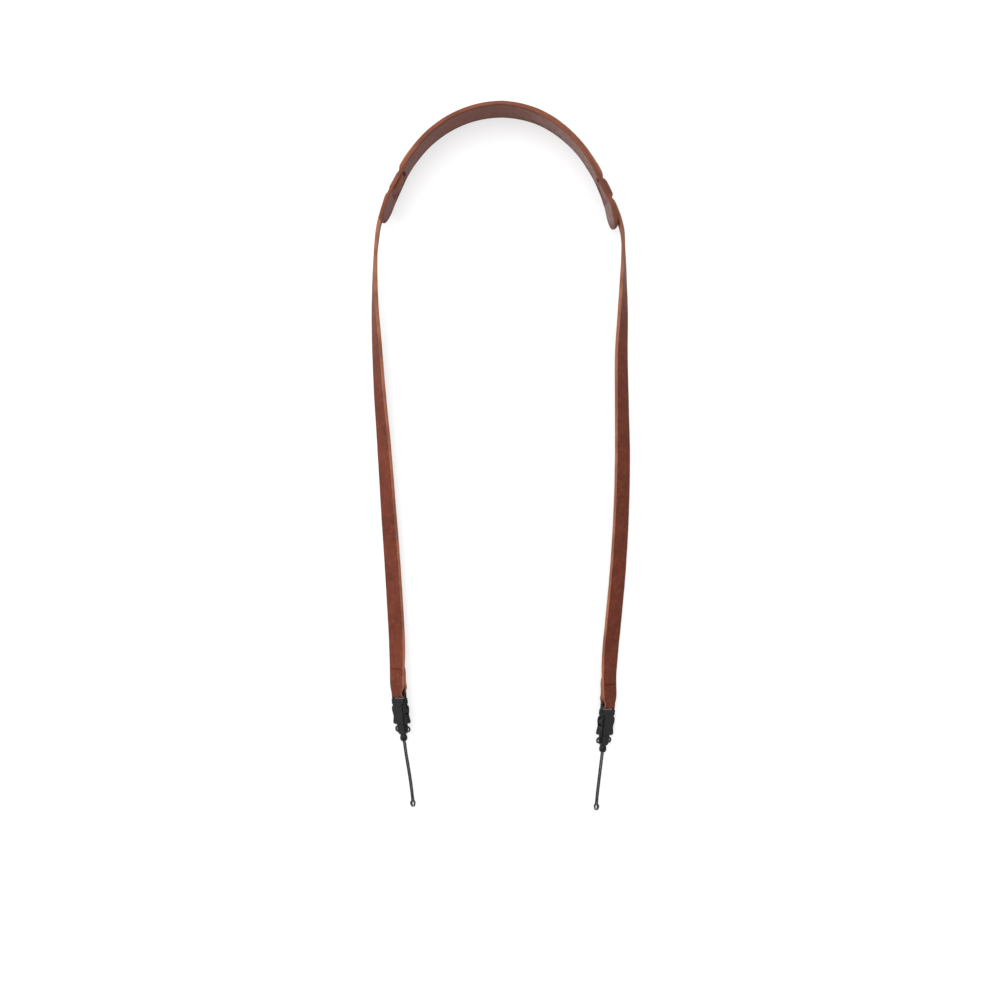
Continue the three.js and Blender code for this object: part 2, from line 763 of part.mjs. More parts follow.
const blockStart = SHELL_END + CLIP_GAP;
const tailStart = blockStart + BLOCK_LENGTH;
const tailEnd = tailStart + TAIL_LENGTH;

function makeClip() {
  const armThickness = CAVITY_THICKNESS - 2 * CLIP_GAP;
  const armOuter = cavityWidth / 2 - CLIP_GAP;
  const armInner = armOuter - ARM_WIDTH;
  const armStart = CAVITY_START + WINDOW_INSET + CLIP_GAP;
  const buttonTop = armOuter + BUTTON_RISE;
  const earAlong = blockStart + BLOCK_LENGTH / 2;
  const arm = (side) =>
    plate(
      [
        [armInner, armStart],
        [armOuter, armStart],
        [buttonTop, armStart + BUTTON_RISE / 2],
        [buttonTop + BUTTON_CROWN, armStart + BUTTON_LENGTH / 2],
        [buttonTop, armStart + BUTTON_LENGTH - BUTTON_RISE / 2],
        [armOuter, armStart + BUTTON_LENGTH],
        [armOuter, earAlong],
        [armInner, earAlong],
      ].map(([x, y]) => [x * side, y]),
      armThickness,
    );
  const ear = (side) => pillar(EAR_RADIUS, EAR_THICKNESS, side * EAR_OUT, earAlong, EAR_SIDES);
  const pierced = armThickness + 2 * CUT_PAST;
  const eye = (side) => pillar(EAR_HOLE, pierced, side * EAR_OUT, earAlong, EAR_HOLE_SIDES);
  const outline = BLOCK_OUTLINE.map(
    ([x, y]) => [(x * BLOCK_WIDTH) / 2, blockStart + y * BLOCK_LENGTH],
  );
  const body = plate(mirrored(outline), BLOCK_THICKNESS);
  const plugStart = CAVITY_START + PLUG_SHORT;
  const plugLength = blockStart - plugStart + PLUG_ROOT;
  const plug = block(PLUG_WIDTH, plugLength, armThickness, plugStart);
  const profile = TAIL_PROFILE.map(
    ([radius, share]) => new THREE.Vector2(radius * TAIL_RADIUS, tailStart + share * TAIL_LENGTH),
  );
  const tail = solidOf(new THREE.LatheGeometry(profile, TAIL_SIDES));
  const [drill, sides] = [CORD_HOLE_DEPTH + CUT_PAST, CORD_HOLE_SIDES];
  const hole = new THREE.CylinderGeometry(CORD_HOLE_RADIUS, CORD_HOLE_RADIUS, drill, sides);
  const cordHole = solidOf(hole.translate(0, tailEnd - CORD_HOLE_DEPTH + drill / 2, 0));
  return body
    .add(plug)
    .add(arm(1))
    .add(arm(-1))
    .add(ear(1))
    .add(ear(-1))
    .add(tail)
    .subtract(eye(1))
    .subtract(eye(-1))
    .subtract(cordHole);
}

// Cord loop: out on one side of the pair, round the hitch, back on the other side
function makeCord(buckle, rows) {
  const exit = buckle.at(0, tailEnd, 0);
  const start = buckle.at(0, tailEnd - CORD_HOLE_DEPTH + CORD_END_GAP, 0);
  const flat = CORD_DIAMETER / 2 + CORD_FLOOR_GAP;
  const centres = [start, exit].concat(
    rows.map(([x, y, share]) => {
      const height = THREE.MathUtils.lerp(flat, exit.z, share);
      return new THREE.Vector3(exit.x + x, exit.y + y, height);
    }),
  );
  const line = new THREE.CatmullRomCurve3(centres, false, 'centripetal');
  const sideOf = (t) => {
    const ahead = line.getTangent(t).setZ(0).normalize();
    return new THREE.Vector3(ahead.y, -ahead.x, 0);
  };
  const last = centres.length - 1;
  const strand = centres.map((point, i) => ({ point, side: sideOf(i / last) }));
  const ahead = line.getTangent(1).setZ(0).normalize();
  const across = sideOf(1);
  const tip = centres[last];
  const hitch = (sign) =>
    HITCH.map(([forward, aside, up]) =>
      tip.clone().addScaledVector(ahead, forward * CORD_DIAMETER)
        .addScaledVector(across, sign * aside * CORD_DIAMETER)
        .addScaledVector(UP, up * CORD_DIAMETER),
    );
  const shifted = (sign) =>
    strand.map(({ point, side }) =>
      point.clone().addScaledVector(side, (sign * STRAND_SPACING) / 2),
    );
  const points = [
    ...shifted(1),
    ...hitch(1),
    ...hitch(-1).reverse(),
    ...shifted(-1).reverse(),
  ];
  const circle = [];
  for (let i = 0; i < CORD_SIDES; i += 1) {
    const angle = (2 * Math.PI * i) / CORD_SIDES;
    const radius = CORD_DIAMETER / 2;
    circle.push(new THREE.Vector2(radius * Math.cos(angle), radius * Math.sin(angle)));
  }
  return new THREE.ExtrudeGeometry(new THREE.Shape(circle), {
    steps: CORD_STEPS,
    extrudePath: new THREE.CatmullRomCurve3(points, false, 'centripetal'),
  });
}

// Assembly
function named(name, geometry, finish) {
  const mesh = new THREE.Mesh(geometry, new THREE.MeshStandardMaterial(finish));
  mesh.name = name;
  return mesh;
}

// Group that stands in a buckle's frame
function inBuckle(buckle) {
  const group = new THREE.Group();
  const across = buckle.u.clone().multiplyScalar(buckle.side);
  const basis = new THREE.Matrix4().makeBasis(across, buckle.ahead, buckle.n);
  group.quaternion.setFromRotationMatrix(basis);
  group.position.copy(buckle.at(0, 0, 0));
  return group;
}

const neckStrap = new THREE.Group();
neckStrap.add(named('neck_pad', geometryOf(makePad()), PAD_LEATHER));
neckStrap.add(named('strap', geometryOf(makeStrap()), LEATHER));
for (const [side, buckle] of [['left', leftBuckle], ['right', rightBuckle]]) {
  const group = inBuckle(buckle);
  group.add(named(`${side}_socket`, geometryOf(makeSocket()), PLASTIC));
  group.add(named(`${side}_clip`, geometryOf(makeClip()), PLASTIC));
  neckStrap.add(group);
}

// Origin on the table, under the middle of the box of all but the cords
neckStrap.updateMatrixWorld(true);
const box = new THREE.Box3().setFromObject(neckStrap, true);
const middle = box.getCenter(new THREE.Vector3());
neckStrap.add(named('left_cord', makeCord(leftBuckle, LEFT_CORD), CORD));
neckStrap.add(named('right_cord', makeCord(rightBuckle, RIGHT_CORD), CORD));
neckStrap.position.set(-middle.x, -middle.y, -box.min.z);

export default neckStrap;
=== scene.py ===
"""A leather neck strap lying on a table: a neck pad on its edge, a strap woven through it, and a side
release buckle with a cord loop at each end. Metres. The loop lies flat, with the pad towards +Y."""

import math

import bmesh
import bpy
from mathutils import Matrix, Vector, noise


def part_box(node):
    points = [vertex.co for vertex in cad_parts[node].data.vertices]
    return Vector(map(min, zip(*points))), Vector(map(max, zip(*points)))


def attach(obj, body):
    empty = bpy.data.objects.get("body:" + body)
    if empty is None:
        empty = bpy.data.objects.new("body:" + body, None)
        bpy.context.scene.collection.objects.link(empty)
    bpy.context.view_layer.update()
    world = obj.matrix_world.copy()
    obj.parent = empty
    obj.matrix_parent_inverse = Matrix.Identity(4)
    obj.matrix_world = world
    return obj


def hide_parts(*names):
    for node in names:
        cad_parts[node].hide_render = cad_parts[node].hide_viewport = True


bl_info = {
    "name": "Leather Neck Strap",
    "version": (1, 0, 0),
    "blender": (4, 5, 0),
    "location": "3D View > Sidebar > Neck Strap",
    "description": "Dresses the frame of a leather neck strap: leather, buckles, stitches and cord loops",
    "category": "Add Mesh",
}

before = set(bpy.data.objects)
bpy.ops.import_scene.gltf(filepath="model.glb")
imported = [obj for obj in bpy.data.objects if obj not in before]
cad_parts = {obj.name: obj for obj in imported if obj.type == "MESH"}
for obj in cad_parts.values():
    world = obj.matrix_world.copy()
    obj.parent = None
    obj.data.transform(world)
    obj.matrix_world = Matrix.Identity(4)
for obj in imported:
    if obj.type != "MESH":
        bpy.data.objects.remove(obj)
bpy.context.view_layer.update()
MM = 0.001

# Leather
PAD_WIDTH = 31 * MM
PAD_THICKNESS = 2.2 * MM
STRAP_WIDTH = 12.5 * MM
STRAP_THICKNESS = 2.5 * MM
STRAP_END_THICKNESS = 2.1 * MM
TONGUE_THICKNESS = 1.4 * MM
TAB_THICKNESS = 1.5 * MM

# Neck pad in plan: an arc with a straight tongue at each end
PAD_INNER_RADIUS = 68.2 * MM
PAD_TIP_RADIUS = 13 * MM
LEFT_TONGUE = 29 * MM
RIGHT_TONGUE = 22.5 * MM
LEFT_TONGUE_ANGLE = 20
RIGHT_TONGUE_ANGLE = 12

# Weave of the strap through the pad
LEFT_BRIDGE_FROM_TIP = 26.5 * MM
RIGHT_BRIDGE_FROM_TIP = 25.5 * MM
BRIDGE_LENGTH = 8 * MM
SLOT_LENGTH = 5.5 * MM
SLOT_OPENING = 3.8 * MM
DIP_LENGTH = 9 * MM
LEFT_STRAP_DIP = 3.4 * MM
RIGHT_STRAP_DIP = 2.2 * MM
SEAT_GAP = 0.36 * MM
SLOT_CLEARANCE = 0.3 * MM

# Buckles in plan, from the centre of the pad's arc to the fold of each strap end
LEFT_FOLD_BELOW = 313.2 * MM
RIGHT_FOLD_BELOW = 320.5 * MM
LEFT_FOLD_OUT = 66.0 * MM
RIGHT_FOLD_OUT = 70.4 * MM
LEFT_BUCKLE_TURN = 6.3
RIGHT_BUCKLE_TURN = 6.6
BUCKLE_LEAN = 46
LEFT_BOW = 10.5 * MM
RIGHT_BOW = 8.6 * MM

# Strap end round the buckle bar
TAB_LENGTH = 21 * MM
STRAP_SHIFT = 1.2 * MM
TONGUE_UPPER_CUT = 2.6 * MM
TONGUE_LOWER_CUT = 0.5 * MM
FOLD_GAP = 0.3 * MM
BAR_RADIUS = 0.9 * MM
FOLD_STEPS = 8
TAIL_STEPS = 4
TIE_SHARE = 0.41
PAST_TIE = TAB_LENGTH / 8
THINNING_LENGTH = 8 * MM
LEFT_SEAM = 19.0 * MM
RIGHT_SEAM = 16.0 * MM

# Socket half of a buckle
FRAME_POST_WIDTH = 1.2 * MM
FRAME_POST_THICKNESS = 1.9 * MM
FRAME_SIDE_GAP = 0.3 * MM
COLLAR_START = 0.4 * MM
COLLAR_LENGTH = 3.6 * MM
COLLAR_WIDTH = 11.2 * MM
COLLAR_THICKNESS = 4.4 * MM
SHELL_END = 17 * MM
SHELL_WIDTH = 12.9 * MM
SHELL_WAIST_SHARE = 0.88
SHELL_THICKNESS = 4.2 * MM
PLATE_WIDTH = 8.8 * MM
PLATE_THICKNESS = 5.6 * MM
CAVITY_START = 5.6 * MM
SHELL_WALL = 1.1 * MM
CAVITY_THICKNESS = 2.8 * MM
WINDOW_LENGTH = 5.2 * MM
WINDOW_INSET = 0.2 * MM
POST_CORNER = 0.45 * MM
COLLAR_CORNER = 0.5 * MM
SHOULDER_CORNER = 0.3 * MM
SHOULDER_INSET = 0.1 * MM
SHOULDER_RISE = 0.15 * MM
PLATE_CORNER = 0.9 * MM
CAVITY_CORNER = 0.3 * MM
WINDOW_CORNER = 0.4 * MM
SOCKET_OVERLAP = 0.8 * MM

# Clip half of a buckle
CLIP_GAP = 0.35 * MM
ARM_WIDTH = 1.1 * MM
BUTTON_LENGTH = 4.3 * MM
BUTTON_RISE = 1.6 * MM
BUTTON_BULGE = 0.15 * MM
PLUG_WIDTH = 2.6 * MM
PLUG_SHORT = 1.6 * MM
PLUG_CORNER = 0.5 * MM
PLUG_OVERLAP = 1.0 * MM
PLUG_THICKNESS_SHARE = 0.98
BLOCK_LENGTH = 6.4 * MM
BLOCK_WIDTH = 6.6 * MM
BLOCK_THICKNESS = 3.8 * MM
EAR_RADIUS = 2.05 * MM
EAR_HOLE = 1.25 * MM
EAR_OUT = 5.15 * MM
EAR_THICKNESS = 1.1 * MM
TAIL_RADIUS = 2.45 * MM
TAIL_LENGTH = 4.4 * MM
CORD_HOLE_RADIUS = 1.4 * MM
CORD_HOLE_DEPTH = 2.3 * MM
CUT_PAST = 1.0 * MM

# Rounding of each moulding's edges, as a multiple of the rounding that a user sets
ROUNDINGS = {
    "shell": 1.6,
    "plates": 1.5,
    "collar": 1.0,
    "shoulder": 0.6,
    "posts": 1.0,
    "cavity": 0.5,
    "windows": 0.6,
    "block": 1.8,
    "plug": 1.0,
    "arms": 0.7,
    "ears": 1.6,
}

# Cord loops
CORD_DIAMETER = 1.0 * MM
STRAND_SPACING = 1.08 * MM
CORD_END_GAP = 0.3 * MM

# Heights that the tails and the cords keep off the table
FLOOR_GAP = 0.05 * MM
CORD_FLOOR_GAP = 0.2 * MM

# Camera: straight above, square on the middle of the picture
CAMERA_HEIGHT = 0.95
VIEW_WIDTH = 0.66
PICTURE_BELOW_ARC = 0.1835
SENSOR_WIDTH = 36
CAMERA_CLIP = (0.01, 20)

# Table and round lights, from the middle of the part
TABLE_HALF_WIDTH = 4.0
TABLE_TOP = -0.03 * MM
KEY_LIGHT_PLACE = (-0.18, 0.52, 1.1)
KEY_LIGHT_SIZE = 1.0
SIDE_LIGHT_PLACE = (-1.25, 0.1, 0.45)
SIDE_LIGHT_SIZE = 0.7

# Most that the edges are rounded, as a share of the leather's thickness
ROUNDING_LIMIT = 0.48
# Where the pad's cut edge ends on its face, as multiples of the rounding
RIM_FULL = 0.25
RIM_END = 1.3

# Worked leather: unevenness as the size of its waves and how far they go
STRAP_WAVE = (30 * MM, 0.12 * MM)
STRAP_FACE_WAVE = (9 * MM, 0.1 * MM)
STRAP_EDGE_WAVE = (6 * MM, 0.12 * MM)
PAD_WAVE = (26 * MM, 0.5 * MM)
PAD_FACE_WAVE = (7 * MM, 0.1 * MM)

# Pressed line and darker border round the pad, and columns of its mesh close to its tips
CREASE_HALF_WIDTH = 0.3 * MM
CREASE_ROW_STEP = 0.18 * MM
CREASE_ROWS = 3
TIP_COLUMNS = (1.2 * MM, 1.6 * MM, 1.9 * MM, 2.3 * MM, 3 * MM)
BORDER_START = 1.2 * MM
BORDER_END = 3.6 * MM

# Sewn line across a strap end. A stitch shows from a share of its length, rises by a multiple of its
# thread's radius and beds by another. Under a faint groove the mesh needs no finer steps.
SEAM_HALF_WIDTH = 0.42 * MM
SEAM_DEPTH = 0.28 * MM
SEAM_FULL_INSET = 1.3 * MM
SEAM_END_INSET = 0.6 * MM
STITCH_INSET = 1.6 * MM
STITCH_START = 0.08
STITCH_SINK = 0.3 * MM
STITCH_RISE = 1.1
STITCH_BED = 0.4
STITCH_STEPS = 12
STITCH_SIDES = 10
SEAM_FAINT = 0.02
NEAR_BUCKLE = 2 * TAB_LENGTH
FINE_FROM_BUCKLE = 1.4 * TAB_LENGTH

# Braid of the cords, its gaps and crowns as shares of the cord's radius
BRAID_PITCH = 2.6 * MM
BRAID_STRANDS = 4
BRAID_LOW = 0.98
BRAID_RELIEF = 0.06

# Patterns in the materials
FIBRE_SIZE = 0.35 * MM
SCRATCH_WIDTH = 0.5 * MM
# Length from x = 0 towards +x over which the painted sheen on the leather's back grows
PAINTED_SHEEN_LENGTH = 60 * MM
THREAD_DIRT_SIZE = 1.2 * MM
THREAD_TWIST_SCALE = 700.0
THREAD_TWIST_DEPTH = 0.06 * MM
PLASTIC_CLOUD_SIZE = 2.5 * MM
PLASTIC_SPARK_SIZE = 0.22 * MM
PLASTIC_WAVE_SIZE = 0.6 * MM
PLASTIC_RUB_WIDTH = 0.5 * MM
CORD_FUZZ_SIZE = 0.18 * MM
CORD_WEAR_SIZE = 6 * MM
CORD_BUMP_DEPTH = 0.03 * MM
TABLE_CLOUD_SIZE = 0.4

# Fineness of the meshes. Rounded edges have points at shares of their rounding.
LEATHER_STEP = 1.2 * MM
END_STEP = 0.45 * MM
SEAM_STEP = END_STEP / 3
PAD_STEP = 0.8 * MM
CORD_STEP = 0.16 * MM
CORD_SIDES = 20
ROUTE_SAMPLES = 4000
PAD_SAMPLES = 400
CORNER_STEPS = 5
FACE_STEPS = 9
ROUNDING_STOPS = (0.0, 0.1, 0.3, 0.6, 1.0)
SHELL_POINTS = 150
BLOCK_POINTS = 64
EAR_POINTS = 40
EAR_HOLE_SIDES = 24
BAR_SIDES = 28
BELL_STEPS = 28
BELL_SIDES = 44
CORD_HOLE_SIDES = 32
OBLONG_STEPS = 6
RIM_STEPS = 4
SHARP_ANGLE = math.radians(38)

# Lean of the pad's wall, its top edge outwards. Columns: share of the pad's length from the left
# tip, degrees.
PAD_LEAN = [
    (0.0, 4.0),
    (0.12, 0.0),
    (0.25, -0.5),
    (0.38, 0.7),
    (0.5, 1.2),
    (0.62, -1.0),
    (0.74, -3.3),
    (0.87, -2.5),
    (1.0, 5.0),
]
# How far the pad is pressed in from its arc. Columns: share of the pad's length from the left tip,
# distance inwards.
PAD_PRESS = [
    (0.0, -0.9 * MM),
    (0.07, -0.7 * MM),
    (0.13, 0.3 * MM),
    (0.22, 0.9 * MM),
    (0.32, 0.5 * MM),
    (0.42, -0.1 * MM),
    (0.5, -0.5 * MM),
    (0.6, -0.4 * MM),
    (0.7, 0.6 * MM),
    (0.8, 1.1 * MM),
    (0.87, 0.3 * MM),
    (0.93, -1.2 * MM),
    (1.0, -1.0 * MM),
]

# Way of each strap tail from the pad to its buckle. Columns: share of the way, distance outside
# the straight line as a share of the bow, lean of the upper edge inwards in degrees, height of the
# lower edge as a share of its height in the slots, the same as a share of the height that the
# buckle gives it.
LEFT_TAIL = [
    (0.025, 0.28, 0, 0.97, 0),
    (0.055, 0.6, 3, 0.9, 0),
    (0.1, 0.83, 4.5, 0.76, 0),
    (0.16, 0.95, 9, 0.56, 0),
    (0.225, 0.98, 16, 0.38, 0),
    (0.3, 0.92, 26, 0.2, 0),
    (0.4, 0.8, 33.5, 0.07, 0),
    (0.5, 0.61, 41, 0.01, 0),
    (0.62, 0.42, 47.5, 0, 0),
    (0.74, 0.22, 52, 0, 0),
    (0.84, 0.08, 53.5, 0, 0),
    (0.915, 0.0, 52.5, 0, 0.1),
    (0.965, 0.0, 49, 0, 0.45),
]
RIGHT_TAIL = [
    (0.025, 0.4, 0, 0.97, 0),
    (0.055, 0.75, 3, 0.9, 0),
    (0.1, 0.87, 7, 0.76, 0),
    (0.16, 0.89, 17, 0.56, 0),
    (0.225, 0.87, 28.5, 0.38, 0),
    (0.3, 0.8, 37, 0.22, 0),
    (0.4, 0.86, 42.5, 0.1, 0),
    (0.5, 0.94, 47.5, 0.01, 0),
    (0.62, 0.87, 50.5, 0, 0),
    (0.74, 0.64, 52.5, 0, 0),
    (0.84, 0.32, 53.5, 0, 0),
    (0.915, 0.05, 52.5, 0, 0.1),
    (0.965, -0.03, 48.5, 0, 0.45),
]

# Strap end in its buckle's frame. Columns: distance before the fold as a share of the tab's length,
# share of the tongue's cuts, share of the way from tongue to thinned strap.
STRAP_END = [
    (0.37, 0, 0.9),
    (0.32, 0.1, 0.75),
    (0.275, 0.4, 0.55),
    (0.23, 0.72, 0.35),
    (0.185, 0.92, 0.15),
    (0.14, 1, 0),
]
# Tab behind the bar. Columns: distance before the fold as a share of the tab's length, share of the
# tongue's cuts, share of the way from the bar's far side to the strap's back.
TAB_START = [
    (0.14, 1, 0),
    (0.185, 0.92, 0.1),
    (0.23, 0.72, 0.3),
    (0.275, 0.4, 0.52),
    (0.32, 0.1, 0.75),
    (0.37, 0, 0.93),
]
# Tab against the strap's back, to its thin end. Columns: distance before the fold as a share of the
# tab's length, thickness as a share of the tab's thickness, width lost at each side as a share of
# the strap's width.
TAB_END = [
    (0.46, 1, 0.02),
    (0.58, 1, 0.05),
    (0.7, 1, 0.06),
    (0.82, 0.95, 0.06),
    (0.93, 0.75, 0.07),
    (1.0, 0.5, 0.1),
]

# Outline of the socket's shell, right half. Columns: share of the half width, share of the length
# from the collar's end to the mouth.
SHELL_OUTLINE = [
    (0.8, -0.05),
    (0.8, 0.045),
    (0.93, 0.1),
    (0.99, 0.19),
    (1.0, 0.29),
    (0.95, 0.42),
    (SHELL_WAIST_SHARE, 0.56),
    (0.92, 0.7),
    (0.99, 0.83),
    (1.0, 0.91),
    (0.95, 0.98),
    (0.86, 1.0),
]
# Outline of the clip's block, right half. Columns: share of the half width, share of the length.
BLOCK_OUTLINE = [
    (0.8, 0),
    (1, 0.08),
    (1, 0.72),
    (0.6, 1),
]
# Tail of the clip: a bell round the cord. Columns: share of the tail's radius, share of its length.
TAIL_PROFILE = [
    (0.84, -0.08),
    (0.8, 0.06),
    (0.84, 0.18),
    (0.94, 0.34),
    (1.0, 0.52),
    (0.98, 0.7),
    (0.9, 0.86),
    (0.76, 1.0),
]

# Route of each cord pair on the table. Columns: across and along from the buckle's end,
# height of the cord's middle above the table as a share of the buckle's height, then flat.
LEFT_CORD = [
    (0.45 * MM, -2.6 * MM, 0.97),
    (0.8 * MM, -6.0 * MM, 0.8),
    (1.2 * MM, -9.8 * MM, 0.45),
    (1.7 * MM, -13.6 * MM, 0.17),
    (2.2 * MM, -17.1 * MM, 0),
    (3.65 * MM, -26.2 * MM, 0),
    (4.75 * MM, -34.4 * MM, 0),
    (5.3 * MM, -39.4 * MM, 0),
]
RIGHT_CORD = [
    (-0.3 * MM, -2.6 * MM, 0.97),
    (-0.65 * MM, -6.2 * MM, 0.8),
    (-0.95 * MM, -10.0 * MM, 0.45),
    (-1.3 * MM, -13.9 * MM, 0.17),
    (-1.7 * MM, -17.9 * MM, 0),
    (-2.4 * MM, -23.9 * MM, 0),
    (-3.1 * MM, -29.9 * MM, 0),
    (-3.5 * MM, -34.4 * MM, 0),
]
# Girth hitch at the end of each pair, one half of it. Columns: along from the last point, to the
# side, height above the flat cord, all as multiples of the cord's diameter.
HITCH = [
    (1.4, 0.7, 0),
    (2.8, 0.95, 0),
    (4.0, 0.72, 0.3),
    (4.5, 0.58, 1.25),
    (4.0, 0.72, 2.2),
    (2.9, 1.15, 2.45),
    (1.8, 1.3, 2.1),
    (1.15, 0.75, 1.75),
]

UP = Vector((0, 0, 1))


def lerp(a, b, share):
    return a + (b - a) * share


def smoothstep(value, low, high):
    """0 below low, 1 above high, smooth between."""
    share = min(max((value - low) / (high - low), 0.0), 1.0)
    return share * share * (3 - 2 * share)


def along(table, share, column):
    """Value of a table's column at a share, straight between its rows."""
    if share <= table[0][0]:
        return table[0][column]
    for before, after in zip(table, table[1:]):
        if share <= after[0]:
            part = (share - before[0]) / (after[0] - before[0])
            return lerp(before[column], after[column], part)
    return table[-1][column]


class Route:
    """A smooth line through points, each stretch paced by its own length unless it is even."""

    NEAR = 1e-4
    TINY = 1e-9

    def __init__(self, points, even=False):
        self.points = points
        self.even = even

    def at(self, t):
        points, last = self.points, len(self.points) - 1
        whole = min(int(last * t), last - 1)
        part = last * t - whole
        b, c = points[whole], points[whole + 1]
        a = points[whole - 1] if whole > 0 else b + (b - c)
        d = points[whole + 2] if whole + 2 <= last else c + (c - b)
        if self.even:
            start, end = (c - a) * 0.5, (d - b) * 0.5
        else:
            spans = [max((q - p).length, self.TINY) for p, q in ((a, b), (b, c), (c, d))]
            one, two, three = (math.sqrt(span) for span in spans)
            start = ((b - a) / one - (c - a) / (one + two) + (c - b) / two) * two
            end = ((c - b) / two - (d - b) / (two + three) + (d - c) / three) * two
        return (
            b
            + start * part
            + (3 * (c - b) - 2 * start - end) * part**2
            + (start + end - 2 * (c - b)) * part**3
        )

    def heading(self, t):
        low, high = max(t - self.NEAR, 0), min(t + self.NEAR, 1)
        return (self.at(high) - self.at(low)).normalized()

    def spaced(self, step):
        """Points along the line, a step apart."""
        fine = [self.at(i / ROUTE_SAMPLES) for i in range(ROUTE_SAMPLES + 1)]
        travelled = [0.0]
        for a, b in zip(fine, fine[1:]):
            travelled.append(travelled[-1] + (b - a).length)
        count = max(2, round(travelled[-1] / step))
        found, i = [], 0
        for k in range(count + 1):
            goal = travelled[-1] * k / count
            while i < len(fine) - 2 and travelled[i + 1] < goal:
                i += 1
            part = (goal - travelled[i]) / max(travelled[i + 1] - travelled[i], self.TINY)
            found.append(fine[i].lerp(fine[i + 1], part))
        return found


# Neck pad in plan, with the centre of its arc at the origin
PAD_MIDDLE_RADIUS = PAD_INNER_RADIUS + PAD_THICKNESS / 2
PAD_ARC = math.radians(180 - LEFT_TONGUE_ANGLE - RIGHT_TONGUE_ANGLE) * PAD_MIDDLE_RADIUS
PAD_LENGTH = LEFT_TONGUE + PAD_ARC + RIGHT_TONGUE
PAD_MID_HEIGHT = PAD_WIDTH / 2
LEFT_BRIDGE = LEFT_BRIDGE_FROM_TIP
RIGHT_BRIDGE = PAD_LENGTH - RIGHT_BRIDGE_FROM_TIP
STRAP_SEAT = PAD_THICKNESS / 2 + SEAT_GAP + STRAP_THICKNESS / 2
SLOT_HALF_HEIGHT = STRAP_WIDTH / 2 + SLOT_CLEARANCE
EXIT_FROM_BRIDGE = BRIDGE_LENGTH / 2 + SLOT_LENGTH
STATION_STEP = SLOT_LENGTH / 3
LEFT_EXIT = LEFT_BRIDGE - EXIT_FROM_BRIDGE
RIGHT_EXIT = RIGHT_BRIDGE + EXIT_FROM_BRIDGE


def pad_plan(distance):
    """Point and outward direction of the pad's middle line at a distance from its left tip."""
    arc_distance = min(max(distance - LEFT_TONGUE, 0), PAD_ARC)
    angle = math.pi - math.radians(LEFT_TONGUE_ANGLE) - arc_distance / PAD_MIDDLE_RADIUS
    out = Vector((math.cos(angle), math.sin(angle), 0))
    ahead = Vector((math.sin(angle), -math.cos(angle), 0))
    radius = PAD_MIDDLE_RADIUS - along(PAD_PRESS, distance / PAD_LENGTH, 1)
    return out * radius + ahead * (distance - LEFT_TONGUE - arc_distance), out


def over_bridges(distance, change):
    """1 over a bridge, 0 away from both, with a smooth change over the given length."""
    reach = (BRIDGE_LENGTH + SLOT_LENGTH) / 2
    away = min(abs(distance - LEFT_BRIDGE), abs(distance - RIGHT_BRIDGE))
    return 1 - smoothstep(away, reach - change / 2, reach + change / 2)


def strap_dip(distance):
    """How far the strap goes in behind the bridge of its half of the pad."""
    return LEFT_STRAP_DIP if distance < PAD_LENGTH / 2 else RIGHT_STRAP_DIP


def pad_half_width(distance):
    """Half width of the pad at a distance along it, less in its round ends."""
    from_tip = min(distance, PAD_LENGTH - distance)
    short = max(PAD_TIP_RADIUS - from_tip, 0)
    return PAD_WIDTH / 2 - PAD_TIP_RADIUS + math.sqrt(PAD_TIP_RADIUS**2 - short**2)


def pad_offset(distance, height):
    """How far the pad's wall lies outside its plan line at a height: its lean and its bridges."""
    slope = math.tan(math.radians(along(PAD_LEAN, distance / PAD_LENGTH, 1)))
    away = abs(height - PAD_MID_HEIGHT)
    rise = (2 * STRAP_SEAT - strap_dip(distance)) * over_bridges(distance, SLOT_LENGTH)
    return height * slope + rise * (1 - smoothstep(away, SLOT_HALF_HEIGHT, PAD_WIDTH / 2))


def centre_of_arc():
    """Where the frame has the centre of the pad's arc: the frame's pad set against the plan line."""
    low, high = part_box("neck_pad")
    outer = []
    for i in range(PAD_SAMPLES + 1):
        distance = PAD_LENGTH * i / PAD_SAMPLES
        point, out = pad_plan(distance)
        height = PAD_MID_HEIGHT + pad_half_width(distance)
        outer.append(point + out * (pad_offset(distance, height) + PAD_THICKNESS / 2))
    left, right = min(p.x for p in outer), max(p.x for p in outer)
    top = max(p.y for p in outer)
    return Vector(((low.x + high.x - left - right) / 2, high.y - top, 0))


ARC_CENTRE = centre_of_arc()


class Station:
    """A place on the strap: centre, direction to its upper edge, its face, width and thickness."""

    def __init__(self, centre, u, n, width=STRAP_WIDTH, thickness=STRAP_THICKNESS):
        self.centre, self.u, self.n = centre, u, n
        self.width, self.thickness = width, thickness

    def toward(self, other, share):
        return Station(
            self.centre.lerp(other.centre, share),
            self.u.lerp(other.u, share).normalized(),
            self.n.lerp(other.n, share).normalized(),
            lerp(self.width, other.width, share),
            lerp(self.thickness, other.thickness, share),
        )


def leaning(centre, out, lean, width=STRAP_WIDTH, thickness=STRAP_THICKNESS):
    """Station from its outward plan direction and the inward lean of its upper edge."""
    u = UP * math.cos(lean) - out * math.sin(lean)
    n = out * math.cos(lean) + UP * math.sin(lean)
    return Station(centre, u, n, width, thickness)


def strap_on_pad(distance):
    point, out = pad_plan(distance)
    lean = math.radians(along(PAD_LEAN, distance / PAD_LENGTH, 1))
    dip = strap_dip(distance) * over_bridges(distance, DIP_LENGTH)
    offset = PAD_MID_HEIGHT * math.tan(lean) + STRAP_SEAT - dip
    return leaning(point + out * offset + UP * PAD_MID_HEIGHT, out, -lean)


